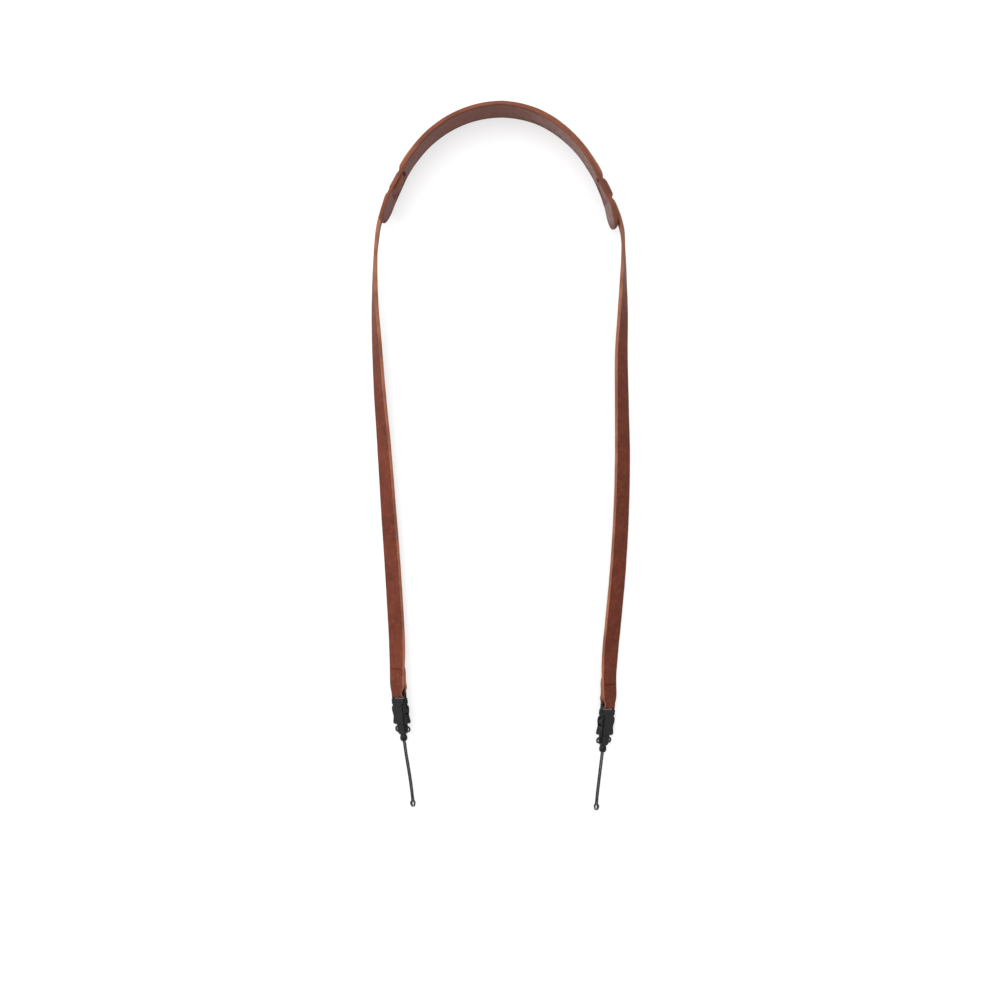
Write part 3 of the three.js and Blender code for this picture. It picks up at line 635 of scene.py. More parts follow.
class Buckle:
    """Frame of a buckle: u from its lower to its upper edge, ahead to the cord, n its outer face."""

    def __init__(self, side, fold_below, fold_out, turn):
        swing, lean = math.radians(turn), math.radians(BUCKLE_LEAN)
        out = Vector((side * math.cos(swing), -math.sin(swing), 0))
        level = leaning(None, out, lean)
        self.side, self.lean, self.u, self.n = side, lean, level.u, level.n
        self.ahead = Vector((-side * math.sin(swing), -math.cos(swing), 0))
        wing = (SHELL_WIDTH * self.u.z + SHELL_THICKNESS * self.n.z) / 2
        plate = (PLATE_WIDTH * self.u.z + PLATE_THICKNESS * self.n.z) / 2
        self.origin = Vector((side * fold_out, -fold_below, max(wing, plate) + FLOOR_GAP))

    def at(self, across, forward, outward):
        return self.origin + self.u * across + self.ahead * forward + self.n * outward

    def matrix(self):
        turn = Matrix((self.u * self.side, self.ahead, self.n)).transposed().to_4x4()
        return Matrix.Translation(self.origin + ARC_CENTRE) @ turn


LEFT_BUCKLE = Buckle(-1, LEFT_FOLD_BELOW, LEFT_FOLD_OUT, LEFT_BUCKLE_TURN)
RIGHT_BUCKLE = Buckle(1, RIGHT_FOLD_BELOW, RIGHT_FOLD_OUT, RIGHT_BUCKLE_TURN)
BUCKLES = {"left": LEFT_BUCKLE, "right": RIGHT_BUCKLE}
SEAMS = {"left": LEFT_SEAM, "right": RIGHT_SEAM}

BAR_ALONG = -(TONGUE_THICKNESS + FOLD_GAP + BAR_RADIUS)
FOLD_RADIUS = BAR_RADIUS + FOLD_GAP + TONGUE_THICKNESS / 2
FRONT_FACE = BAR_RADIUS + FOLD_GAP + TONGUE_THICKNESS


def end_station(buckle, forward, outward, cut, thickness, turn=0.0):
    upper = STRAP_WIDTH / 2 + STRAP_SHIFT - cut * TONGUE_UPPER_CUT
    lower = STRAP_WIDTH / 2 - STRAP_SHIFT - cut * TONGUE_LOWER_CUT
    n = buckle.n * math.cos(turn) + buckle.ahead * math.sin(turn)
    centre = buckle.at((upper - lower) / 2, forward, outward)
    return Station(centre, buckle.u, n, upper + lower, thickness)


def strap_end(buckle):
    """Front layer, fold round the bar and the start of the tab behind it."""
    made = []
    for share, cut, full in STRAP_END:
        thickness = lerp(TONGUE_THICKNESS, STRAP_END_THICKNESS, full)
        made.append(end_station(buckle, -share * TAB_LENGTH, FRONT_FACE - thickness / 2, cut, thickness))
    for i in range(FOLD_STEPS + 1):
        turn = math.pi * i / FOLD_STEPS
        forward = BAR_ALONG + FOLD_RADIUS * math.sin(turn)
        made.append(end_station(buckle, forward, FOLD_RADIUS * math.cos(turn), 1, TONGUE_THICKNESS, turn))
    pressed = FRONT_FACE - STRAP_END_THICKNESS - FOLD_GAP - TAB_THICKNESS / 2
    for share, cut, closed in TAB_START:
        thickness = lerp(TONGUE_THICKNESS, TAB_THICKNESS, closed)
        outward = lerp(-FOLD_RADIUS, pressed, closed)
        made.append(end_station(buckle, -share * TAB_LENGTH, outward, cut, thickness, math.pi))
    return made


def station_back(tail, distance):
    """Station of a tail at a distance back from its end."""
    for before, after in zip(reversed(tail), reversed(tail[:-1])):
        gap = (before.centre - after.centre).length
        if distance <= gap:
            return before.toward(after, distance / gap)
        distance -= gap
    return tail[0]


def tab_on_tail(tail):
    """Tab that lies against the back of the tail's end."""
    made = []
    for share, thick, lost in TAB_END:
        back = station_back(tail, (share - TIE_SHARE) * TAB_LENGTH)
        thickness = TAB_THICKNESS * thick
        centre = back.centre - back.n * (back.thickness / 2 + FOLD_GAP + thickness / 2)
        made.append(Station(centre, back.u, -back.n, STRAP_WIDTH * (1 - 2 * lost), thickness))
    return made


def strap_tail(buckle, exit_at, bow, table):
    """Strap from the pad to the buckle, in stations a short way apart."""
    side = buckle.side
    start = strap_on_pad(exit_at)
    tie = -TIE_SHARE * TAB_LENGTH
    in_buckle = FRONT_FACE - STRAP_END_THICKNESS / 2
    end = buckle.at(STRAP_SHIFT, tie, in_buckle)
    line = end - start.centre
    line.z = 0
    across = Vector((-line.y, line.x, 0)).normalized() * side

    def rest_height(lean):
        return (STRAP_WIDTH * math.cos(lean) + STRAP_THICKNESS * math.sin(abs(lean))) / 2

    slot_lift = PAD_MID_HEIGHT - STRAP_WIDTH / 2
    end_lift = end.z - rest_height(buckle.lean) - FLOOR_GAP
    lead = strap_on_pad(exit_at - side * STATION_STEP)
    beyond = buckle.at(STRAP_SHIFT, tie + PAST_TIE, in_buckle)
    centres, leans = [lead.centre, start.centre], [0.0, 0.0]
    for share, bow_share, lean_degrees, slot_share, end_share in table:
        lean = math.radians(lean_degrees)
        point = start.centre + line * share + across * (bow * bow_share)
        point.z = FLOOR_GAP + slot_lift * slot_share + end_lift * end_share + rest_height(lean)
        centres.append(point)
        leans.append(lean)
    centres += [end, beyond]
    leans += [buckle.lean, buckle.lean]
    route = Route(centres)
    lean_route = Route([Vector((lean, i, 0)) for i, lean in enumerate(leans)], even=True)
    last = len(centres) - 1
    made = []
    for i in range(TAIL_STEPS, (last - 1) * TAIL_STEPS + 1):
        t = i / (last * TAIL_STEPS)
        ahead = route.heading(t)
        out = Vector((-ahead.y, ahead.x, 0)).normalized() * side
        point = route.at(t)
        past = (point - end).length + TIE_SHARE * TAB_LENGTH - TAB_LENGTH
        thickness = lerp(STRAP_END_THICKNESS, STRAP_THICKNESS, smoothstep(past, 0, THINNING_LENGTH))
        made.append(leaning(point, out, lean_route.at(t).x, STRAP_WIDTH, thickness))
    return made


def on_pad_stations():
    count = round((RIGHT_EXIT - LEFT_EXIT) / STATION_STEP)
    return [strap_on_pad(lerp(LEFT_EXIT, RIGHT_EXIT, i / count)) for i in range(1, count)]


def strap_stations():
    """Whole strap, from the left tab to the right one."""
    left = strap_tail(LEFT_BUCKLE, LEFT_EXIT, LEFT_BOW, LEFT_TAIL)
    right = strap_tail(RIGHT_BUCKLE, RIGHT_EXIT, RIGHT_BOW, RIGHT_TAIL)
    left_end = strap_end(LEFT_BUCKLE) + tab_on_tail(left)
    right_end = strap_end(RIGHT_BUCKLE) + tab_on_tail(right)
    return left_end[::-1] + left[::-1] + on_pad_stations() + right + right_end


def finer(stations, step_at):
    """More stations on a smooth line through the given ones, as close as step_at(station) asks."""
    route = Route([s.centre for s in stations])
    last = len(stations) - 1
    made = []
    for i, (before, after) in enumerate(zip(stations, stations[1:])):
        gap = (after.centre - before.centre).length
        count = max(1, math.ceil(gap / step_at(before.toward(after, 0.5))))
        for k in range(count):
            part = k / count
            station = before.toward(after, part)
            station.centre = route.at((i + part) / last)
            made.append(station)
    made.append(stations[-1])
    return made


# Shader maths


class Value:
    """A number that varies over a surface. Sums and products of it add Math nodes."""

    def __init__(self, finish, socket):
        self.finish = finish
        self.socket = socket

    def _math(self, operation, a, b):
        return self.finish.node("ShaderNodeMath", {"operation": operation}, {0: a, 1: b}).value()

    def __add__(self, other):
        return self._math("ADD", self, other)

    def __sub__(self, other):
        return self._math("SUBTRACT", self, other)

    def __mul__(self, other):
        return self._math("MULTIPLY", self, other)

    def __rsub__(self, other):
        return self._math("SUBTRACT", other, self)

    __radd__ = __add__
    __rmul__ = __mul__

    def limited(self):
        return self.finish.node("ShaderNodeClamp", {}, {0: self}).value()


class Node:
    """A node that was just made, and its outputs."""

    def __init__(self, finish, made):
        self.finish = finish
        self.made = made

    def value(self, output=0):
        return Value(self.finish, self.made.outputs[output])

    def link(self, output=0):
        return self.made.outputs[output]


class Finish:
    """A material in the making."""

    MIX_SOCKETS = (0, 6, 7)
    MIX_RESULT = 2

    def __init__(self, name):
        self.material = bpy.data.materials.new(name)
        self.material.use_nodes = True
        self.tree = self.material.node_tree
        self.tree.nodes.clear()

    def node(self, kind, settings, inputs):
        made = self.tree.nodes.new(kind)
        for key, setting in settings.items():
            setattr(made, key, setting)
        for key, given in inputs.items():
            self._feed(made.inputs[key], given)
        return Node(self, made)

    def _feed(self, socket, given):
        if isinstance(given, Value):
            given = given.socket
        if isinstance(given, bpy.types.NodeSocket):
            self.tree.links.new(given, socket)
        else:
            socket.default_value = given

    def colour(self, share, first, second):
        """Colour between two others."""
        factor, a, b = self.MIX_SOCKETS
        mix = self.node("ShaderNodeMix", {"data_type": "RGBA"}, {factor: share, a: first, b: second})
        return mix.link(self.MIX_RESULT)

    def place(self, scale=(1, 1, 1)):
        """Position on the object, stretched."""
        spot = self.node("ShaderNodeTexCoord", {}, {}).link("Object")
        settings = {"operation": "MULTIPLY"}
        return self.node("ShaderNodeVectorMath", settings, {0: spot, 1: scale}).link()

    def along_x(self):
        """Position on the object from left to right, in metres."""
        return self.node("ShaderNodeSeparateXYZ", {}, {"Vector": self.place()}).value("X")

    def noise(self, size, detail=2.0, roughness=0.5, place=None):
        """Soft noise whose patches are about the given size."""
        inputs = {
            "Vector": place or self.place(),
            "Scale": 1 / size,
            "Detail": detail,
            "Roughness": roughness,
        }
        return self.node("ShaderNodeTexNoise", {}, inputs).value("Fac")

    def cells(self, size, feature="F1"):
        """Cell pattern whose cells are about the given size: distance inside each cell."""
        inputs = {"Vector": self.place(), "Scale": 1 / size}
        return self.node("ShaderNodeTexVoronoi", {"feature": feature}, inputs).value("Distance")

    def ramp(self, value, low, high):
        """0 below low, 1 above high, smooth between."""
        settings = {"interpolation_type": "SMOOTHSTEP"}
        return self.node("ShaderNodeMapRange", settings, {0: value, 1: low, 2: high, 3: 0.0, 4: 1.0}).value()

    def mark(self, name):
        """A number kept on the mesh's points."""
        return self.node("ShaderNodeAttribute", {"attribute_name": name}, {}).value("Fac")

    def bump(self, height, depth, strength=1.0):
        inputs = {"Height": height, "Distance": depth, "Strength": strength}
        return self.node("ShaderNodeBump", {}, inputs).link()

    def surface(self, varied, fixed):
        """The shader itself: varied sockets are linked, fixed ones are set."""
        shader = self.node("ShaderNodeBsdfPrincipled", {}, {**fixed, **varied})
        self.node("ShaderNodeOutputMaterial", {}, {"Surface": shader.link()})
        return self.material


def tint(colour, factor):
    """A colour made lighter or darker, as a node takes it."""
    return (colour[0] * factor, colour[1] * factor, colour[2] * factor, 1.0)


def leather_back(finish, look, clouds, mottle):
    """Colour of the side against the body, with a painted sheen: paler towards +x, where the low light from
    the left falls on it.
    """
    dark, pale = tint(look.back_colour, 0.74), tint(look.back_colour, 1.25)
    back = finish.colour(finish.ramp(mottle, 0.3, 0.7), dark, pale)
    # Painted sheen: the back grows paler towards +x in mottled patches, standing in for the light from the
    # left
    painted_sheen = finish.ramp(finish.along_x() + (clouds - 0.5) * 0.05, 0.0, PAINTED_SHEEN_LENGTH)
    painted_sheen = painted_sheen * finish.ramp(mottle, 0.22, 0.74)
    return finish.colour(painted_sheen * 0.85, back, tint(look.painted_sheen_colour, 1.0))


def leather_edge(finish, cut, clouds, fibre):
    """Colour of the cut edges, darker along their fibres."""
    edge = finish.colour(finish.ramp(clouds, 0.35, 0.65), tint(cut, 0.72), tint(cut, 1.12))
    return finish.colour(finish.ramp(fibre, 0.55, 0.75) * 0.5, edge, tint(cut, 0.6))


def leather_relief(finish, look, rim, mottle, fibre):
    """Height of the grain and its pores, flatter at the worked edges."""
    grain = finish.cells(look.grain_size, "DISTANCE_TO_EDGE")
    pores = finish.cells(look.grain_size * 2.6)
    height = finish.ramp(grain, 0.0, 0.16) * (1 - rim * 0.7) + fibre * 0.35
    return height - (1 - finish.ramp(pores, 0.04, 0.16)) * 0.5 + mottle * 0.8


def leather_finish(name, look, pad):
    face, cut = (look.pad_colour, look.pad_edge_colour) if pad else (look.face_colour, look.edge_colour)
    finish = Finish(name)
    rim, back, crease = finish.mark("rim"), finish.mark("back"), finish.mark("crease").limited()
    clouds = finish.noise(look.cloud_size, 3.0, 0.55)
    mottle = finish.noise(look.cloud_size / 6, 4.0, 0.6)
    fibre = finish.noise(FIBRE_SIZE, 3.0, 0.65)
    scratches = finish.noise(SCRATCH_WIDTH, 2.0, 0.5, finish.place((1.0, 0.12, 1.0)))
    edges = finish.ramp(rim + (mottle - 0.5) * 0.5, 0.3, 0.62)
    body = finish.colour(finish.ramp(clouds, 0.32, 0.7), tint(face, 0.84), tint(face, 1.12))
    body = finish.colour(finish.ramp(mottle, 0.42, 0.72) * 0.4, body, tint(look.pull_colour, 1.0))
    body = finish.colour(back, body, leather_back(finish, look, clouds, mottle))
    body = finish.colour(finish.mark("border") * 0.55, body, tint(look.border_colour, 1.0))
    body = finish.colour(finish.ramp(scratches, 0.62, 0.7) * 0.22, body, tint(look.pull_colour, 1.25))
    body = finish.colour(edges, body, leather_edge(finish, cut, clouds, fibre))
    body = finish.colour(crease * 0.5, body, tint(look.face_colour, 0.5))
    roughness = look.roughness + (mottle - 0.5) * 0.22 + edges * 0.12 + crease * 0.15
    roughness = roughness + back * (0.02 if pad else 0.1)
    height = leather_relief(finish, look, rim, mottle, fibre)
    varied = {
        "Base Color": body,
        "Roughness": roughness.limited(),
        "Normal": finish.bump(height, look.grain_depth, 0.8),
    }
    return finish.surface(varied, {"Specular IOR Level": look.shine})


def thread_finish(look):
    finish = Finish("waxed_thread")
    twist = finish.node(
        "ShaderNodeTexWave",
        {"wave_type": "BANDS", "bands_direction": "DIAGONAL"},
        {"Vector": finish.place(), "Scale": THREAD_TWIST_SCALE, "Distortion": 1.0},
    ).value("Fac")
    dirt = finish.noise(THREAD_DIRT_SIZE, 3.0)
    # Painted shade and highlight: darker in the twist's grooves and lighter on its ridges, following the
    # bands of the bump
    body = finish.colour(twist, tint(look.thread_colour, 0.6), tint(look.thread_colour, 1.2))
    body = finish.colour(finish.ramp(dirt, 0.4, 0.7) * 0.4, body, tint(look.thread_colour, 0.5))
    varied = {
        "Base Color": body,
        "Roughness": 0.6 + dirt * 0.2,
        "Normal": finish.bump(twist, THREAD_TWIST_DEPTH),
    }
    return finish.surface(varied, {"Specular IOR Level": 0.08})


def plastic_finish(look):
    finish = Finish("moulded_black_plastic")
    cloud = finish.noise(PLASTIC_CLOUD_SIZE, 3.0, 0.6)
    spark = finish.cells(PLASTIC_SPARK_SIZE)
    rub = finish.noise(PLASTIC_RUB_WIDTH, 3.0, 0.6, finish.place((1.0, 0.2, 1.0)))
    body = finish.colour(finish.ramp(cloud, 0.35, 0.7), tint(look.colour, 0.8), tint(look.colour, 1.35))
    body = finish.colour(finish.ramp(rub, 0.6, 0.72) * 0.3, body, tint(look.colour, 2.4))
    # Painted highlight: convex edges, found by their pointiness, are made much lighter
    painted_edge_highlight = finish.ramp(finish.node("ShaderNodeNewGeometry", {}, {}).value("Pointiness"), 0.52, 0.6)
    body = finish.colour(painted_edge_highlight * 0.6, body, tint(look.colour, 6.0))
    roughness = look.roughness + (cloud - 0.5) * 0.16 + (rub - 0.5) * 0.1
    height = spark * 0.7 + finish.noise(PLASTIC_WAVE_SIZE, 2.0) * 0.8
    varied = {
        "Base Color": body,
        "Roughness": roughness.limited(),
        "Normal": finish.bump(height, look.texture_depth, 0.5),
    }
    return finish.surface(varied, {"IOR": 1.49, "Specular IOR Level": 0.14})


def cord_finish(look):
    finish = Finish("braided_cord")
    strand = finish.mark("strand")
    fuzz = finish.noise(CORD_FUZZ_SIZE, 3.0, 0.6)
    wear = finish.noise(CORD_WEAR_SIZE, 3.0, 0.6)
    # Painted shade and highlight: darker in the braid's gaps and lighter on its crowns, following the strand
    # relief
    body = finish.colour(strand, tint(look.colour, 0.9), tint(look.colour, 1.1))
    body = finish.colour(finish.ramp(wear, 0.45, 0.75) * 0.4, body, tint(look.colour, 2.6))
    body = finish.colour(finish.ramp(fuzz, 0.55, 0.75) * 0.35, body, tint(look.colour, 2.0))
    varied = {
        "Base Color": body,
        "Roughness": (look.roughness + (fuzz - 0.5) * 0.2).limited(),
        "Normal": finish.bump(strand * 0.5 + fuzz * 0.4, CORD_BUMP_DEPTH, 0.6),
    }
    return finish.surface(varied, {"Specular IOR Level": 0.2})


def floor_finish(look):
    finish = Finish("pale_table")
    cloud = finish.noise(TABLE_CLOUD_SIZE, 2.0)
    body = finish.colour(cloud, tint(look.floor_colour, 0.995), tint(look.floor_colour, 1.0))
    fixed = {
        "Roughness": 0.9,
        "Specular IOR Level": 0.0,
        "Emission Color": (1, 1, 1, 1),
        "Emission Strength": look.floor_glow,
    }
    return finish.surface({"Base Color": body}, fixed)


# Meshes


def new_mesh(name, vertices, faces):
    mesh = bpy.data.meshes.new(name)
    mesh.from_pydata([tuple(v) for v in vertices], [], faces)
    return mesh


def new_object(name, data):
    made = bpy.data.objects.new(name, data)
    bpy.context.scene.collection.objects.link(made)
    return made


def new_piece(name, vertices, faces, marks=None):
    """Object with a clean closed mesh, its face normals outwards, and numbers kept on its points."""
    mesh = new_mesh(name, vertices, faces)
    for key, values in (marks or {}).items():
        mesh.attributes.new(key, "FLOAT", "POINT").data.foreach_set("value", values)
    return mesh_piece(name, mesh)


def mesh_piece(name, mesh, sharp=None):
    """Smooth object from a mesh, with its edges sharp where they bend by more than an angle."""
    built = bmesh.new()
    built.from_mesh(mesh)
    bmesh.ops.recalc_face_normals(built, faces=built.faces)
    for face in built.faces:
        face.smooth = True
    if sharp:
        for edge in built.edges:
            edge.smooth = not edge.is_manifold or edge.calc_face_angle(0) < sharp
    built.to_mesh(mesh)
    built.free()
    return new_object(name, mesh)


def skin(rings):
    """Vertices and faces of a closed skin over rings with the same number of points."""
    count = len(rings[0])
    vertices = [point for ring in rings for point in ring]
    faces = []
    for row in range(len(rings) - 1):
        for i in range(count):
            a, b = row * count + i, row * count + (i + 1) % count
            faces.append((a, b, b + count, a + count))
    faces.append(tuple(range(count)))
    last = (len(rings) - 1) * count
    faces.append(tuple(range(last + count - 1, last - 1, -1)))
    return vertices, faces


def dress(piece, material, nodes):
    piece.data.materials.clear()
    piece.data.materials.append(material)
    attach(piece, "root")
    if nodes:
        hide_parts(*nodes)
    return piece


def ripple(place, wave):
    """Slow unevenness of hand-worked leather, from the size of its waves and how far they go."""
    size, amount = wave
    return noise.noise(place / size) * amount


def section_plan():
    """Points round a leather section: corner, angle, and share of the way along a face."""
    plan = []
    corners = [(1, 1, 0.0), (-1, 1, 90.0), (-1, -1, 180.0), (1, -1, 270.0)]
    for number, (across, out, start) in enumerate(corners):
        for i in range(CORNER_STEPS + 1):
            plan.append((across, out, math.radians(start + 90 * i / CORNER_STEPS), 0.0))
        if number % 2 == 0:
            for i in range(1, FACE_STEPS):
                plan.append((across, out, math.radians(start + 90), i / FACE_STEPS))
    return plan


SECTION = section_plan()


def leather_ring(station, rounding, groove):
    """Round-edged section of the strap at a station, with its rim, back and crease marks."""
    round_off = min(rounding, station.thickness * ROUNDING_LIMIT)
    half_width, half_thick = station.width / 2 - round_off, station.thickness / 2 - round_off
    points, rims, backs, creases = [], [], [], []
    for across_side, out_side, angle, share in SECTION:
        across = half_width * across_side * (1 - 2 * share) + round_off * math.cos(angle)
        out = half_thick * out_side + round_off * math.sin(angle)
        rim = abs(math.cos(angle)) if share == 0 else 0.0
        edge_at = station.width / 2
        inset = 1 - smoothstep(abs(across), edge_at - SEAM_FULL_INSET, edge_at - SEAM_END_INSET)
        pressed = groove * inset * (1 - rim)
        spot = station.centre + station.u * across + station.n * out
        lift = ripple(spot, STRAP_FACE_WAVE) * (1 - rim) + ripple(spot, STRAP_WAVE)
        edge = ripple(spot, STRAP_EDGE_WAVE) * rim * across_side
        sink = out_side * pressed * SEAM_DEPTH
        points.append(spot + station.n * (lift - sink) + station.u * edge + ARC_CENTRE)
        rims.append(rim)
        backs.append(1.0 if out_side < 0 else 0.0)
        creases.append(pressed)
    return points, rims, backs, creases


def from_buckle(station, side):
    return (station.centre - BUCKLES[side].origin).length


def from_seam(station, side):
    """Distance of a station past the seam of a strap end, along its buckle."""
    buckle = BUCKLES[side]
    return (station.centre - buckle.origin).dot(buckle.ahead) + SEAMS[side]


def seam_groove(station):
    """How deep the seam across a strap end presses the leather at a station, from 0 to 1."""
    near = [side for side in BUCKLES if from_buckle(station, side) < NEAR_BUCKLE]
    depths = [math.exp(-((from_seam(station, side) / SEAM_HALF_WIDTH) ** 2)) for side in near]
    return max(depths, default=0.0)


def step_on_strap(station):
    if min(from_buckle(station, side) for side in BUCKLES) > FINE_FROM_BUCKLE:
        return LEATHER_STEP
    return END_STEP if seam_groove(station) < SEAM_FAINT else SEAM_STEP


def make_strap(sizes):
    stations = finer(strap_stations(), step_on_strap)
    rings, marks = [], {"rim": [], "back": [], "crease": []}
    for station in stations:
        ring, rims, backs, creases = leather_ring(station, sizes.edge_rounding, seam_groove(station))
        rings.append(ring)
        marks["rim"] += rims
        marks["back"] += backs
        marks["crease"] += creases
    vertices, faces = skin(rings)
    return new_piece("strap_leather", vertices, faces, marks)


def box_distance(x, y, half_x, half_y, corner=0.0):
    """Distance outside a rectangle with round corners, negative inside."""
    qx, qy = abs(x) - half_x + corner, abs(y) - half_y + corner
    return math.hypot(max(qx, 0), max(qy, 0)) + min(max(qx, qy), 0) - corner


def slot_middles():
    """Where the four slots are along the pad."""
    away = (BRIDGE_LENGTH + SLOT_LENGTH) / 2
    return [bridge + side * away for bridge in (LEFT_BRIDGE, RIGHT_BRIDGE) for side in (-1, 1)]


def from_slots(distance, height):
    away = height - PAD_MID_HEIGHT
    return min(box_distance(distance - m, away, SLOT_OPENING / 2, SLOT_HALF_HEIGHT) for m in slot_middles())


def pad_borders(distance, height):
    """Distances to the pad's outline and to its nearest slot."""
    outline = -box_distance(
        distance - PAD_LENGTH / 2, height - PAD_MID_HEIGHT, PAD_LENGTH / 2, PAD_WIDTH / 2, PAD_TIP_RADIUS
    )
    return max(outline, 0.0), max(from_slots(distance, height), 0.0)


def spread(stops, step):
    """Values between the stops, no further apart than a step."""
    made = []
    for low, high in zip(stops, stops[1:]):
        count = max(1, math.ceil((high - low) / step - 1e-6))
        made += [lerp(low, high, i / count) for i in range(count)]
    return made + [stops[-1]]


def pad_columns(rounding):
    close = [share * rounding for share in ROUNDING_STOPS]
    stops = {0.0, PAD_LENGTH}
    for distance in [*close, *TIP_COLUMNS, PAD_TIP_RADIUS]:
        stops |= {distance, PAD_LENGTH - distance}
    for middle in slot_middles():
        for distance in close:
            stops |= {middle - SLOT_OPENING / 2 - distance, middle + SLOT_OPENING / 2 + distance}
    return spread(sorted(stops), PAD_STEP)


def pad_rows(rounding, inset):
    half = PAD_WIDTH / 2
    close = [share * rounding for share in ROUNDING_STOPS]
    crease = [inset + row * CREASE_ROW_STEP for row in range(-CREASE_ROWS, CREASE_ROWS + 1)]
    stops = {0.0}
    for distance in close + crease:
        stops |= {distance - half, half - distance}
    for distance in close:
        stops |= {-SLOT_HALF_HEIGHT - distance, SLOT_HALF_HEIGHT + distance}
    return [row / half for row in spread(sorted(stops), PAD_STEP)]


def make_pad(sizes):
    """Neck pad: a wall with round edges, a crease line round its border, and four slots."""
    rounding, inset = sizes.edge_rounding, sizes.crease_inset
    columns, rows = pad_columns(rounding), pad_rows(rounding, inset)
    vertices, marks = [], {"rim": [], "back": [], "crease": [], "border": []}
    for side in (1, -1):
        for distance in columns:
            point, out = pad_plan(distance)
            half = pad_half_width(distance)
            for row in rows:
                height = PAD_MID_HEIGHT + row * half
                outline, slot = pad_borders(distance, height)
                short = max(rounding - min(outline, slot), 0)
                thick = PAD_THICKNESS / 2 - rounding + math.sqrt(rounding**2 - short**2)
                crease = math.exp(-(((outline - inset) / CREASE_HALF_WIDTH) ** 2))
                offset = pad_offset(distance, height) + side * (thick - crease * sizes.crease_depth)
                spot = point + out * offset + UP * height
                wave = ripple(spot, PAD_WAVE) + ripple(spot, PAD_FACE_WAVE)
                vertices.append(spot + out * wave * smoothstep(height, 0, PAD_WIDTH / 4) + ARC_CENTRE)
                marks["rim"].append(1 - smoothstep(outline, RIM_FULL * rounding, RIM_END * rounding))
                marks["back"].append(0.0 if side > 0 else 1.0)
                marks["crease"].append(crease)
                marks["border"].append(1 - smoothstep(outline, BORDER_START, BORDER_END))
    faces = pad_faces(columns, rows)
    return new_piece("neck_pad_leather", vertices, faces, marks)


def pad_faces(columns, rows):
    """Faces of both sides of the pad, its outer rim and the walls of its slots."""
    wide, tall = len(columns), len(rows)

    def kept(i, j):
        if not (0 <= i < wide - 1 and 0 <= j < tall - 1):
            return False
        height = PAD_MID_HEIGHT + (rows[j] + rows[j + 1]) / 2 * PAD_WIDTH / 2
        return from_slots((columns[i] + columns[i + 1]) / 2, height) > 0

    def point(side, i, j):
        return side * wide * tall + i * tall + j

    faces = []
    for i in range(wide - 1):
        for j in range(tall - 1):
            if not kept(i, j):
                continue
            corners = [(i, j), (i + 1, j), (i + 1, j + 1), (i, j + 1)]
            faces.append(tuple(point(0, *c) for c in corners))
            faces.append(tuple(point(1, *c) for c in reversed(corners)))
            neighbours = [(i, j - 1), (i + 1, j), (i, j + 1), (i - 1, j)]
            for k, beside in enumerate(neighbours):
                if not kept(*beside):
                    a, b = corners[k], corners[(k + 1) % 4]
                    faces.append((point(0, *b), point(0, *a), point(1, *a), point(1, *b)))
    return faces


def tube(points, radius, sides, relief=None):
    """Rings round a line, with an even twist, and the strand marks that the relief gives."""
    rings, strands = [], []
    normal = None
    travelled = 0.0
    for i, point in enumerate(points):
        ahead = (points[min(i + 1, len(points) - 1)] - points[max(i - 1, 0)]).normalized()
        if normal is None:
            normal = ahead.orthogonal().normalized()
        normal = (normal - ahead * normal.dot(ahead)).normalized()
        beside = ahead.cross(normal)
        if i:
            travelled += (point - points[i - 1]).length
        ring = []
        for k in range(sides):
            angle = 2 * math.pi * k / sides
            share = relief(angle, travelled) if relief else 1.0
            reach = radius * (BRAID_LOW + BRAID_RELIEF * share)
            ring.append(point + (normal * math.cos(angle) + beside * math.sin(angle)) * reach)
            strands.append(share)
        rings.append(ring)
    return rings, strands


def braid(angle, travelled):
    """Height of a round braid's strands, from 0 in its gaps to 1 on its crowns."""
    turn = 2 * math.tau * travelled / BRAID_PITCH
    one = math.cos(BRAID_STRANDS * angle + turn)
    two = math.cos(BRAID_STRANDS * angle - turn)
    return 0.5 + 0.5 * max(one, two)


def cord_route(buckle, table):
    """Centreline of a loop: out on one side of the pair, round the hitch, back on the other."""
    tail_end = TAIL_START + TAIL_LENGTH
    leave = buckle.at(0, tail_end, 0)
    flat = CORD_DIAMETER / 2 + CORD_FLOOR_GAP
    centres = [buckle.at(0, tail_end - CORD_HOLE_DEPTH + CORD_END_GAP, 0), leave]
    for x, y, share in table:
        centres.append(Vector((leave.x + x, leave.y + y, lerp(flat, leave.z, share))))
    line = Route(centres)

    def aside(t):
        ahead = line.heading(t)
        return Vector((ahead.y, -ahead.x, 0)).normalized()

    last = len(centres) - 1
    sides = [aside(i / last) for i in range(last + 1)]
    ahead = line.heading(1)
    ahead = Vector((ahead.x, ahead.y, 0)).normalized()

    def strand(sign):
        return [c + s * (sign * STRAND_SPACING / 2) for c, s in zip(centres, sides)]

    def hitch(sign):
        return [
            centres[-1] + (ahead * forward + sides[-1] * (sign * out) + UP * up) * CORD_DIAMETER
            for forward, out, up in HITCH
        ]

    points = strand(1) + hitch(1) + hitch(-1)[::-1] + strand(-1)[::-1]
    return [point + ARC_CENTRE for point in Route(points).spaced(CORD_STEP)]


def length_of(points):
    return sum((b - a).length for a, b in zip(points, points[1:]))


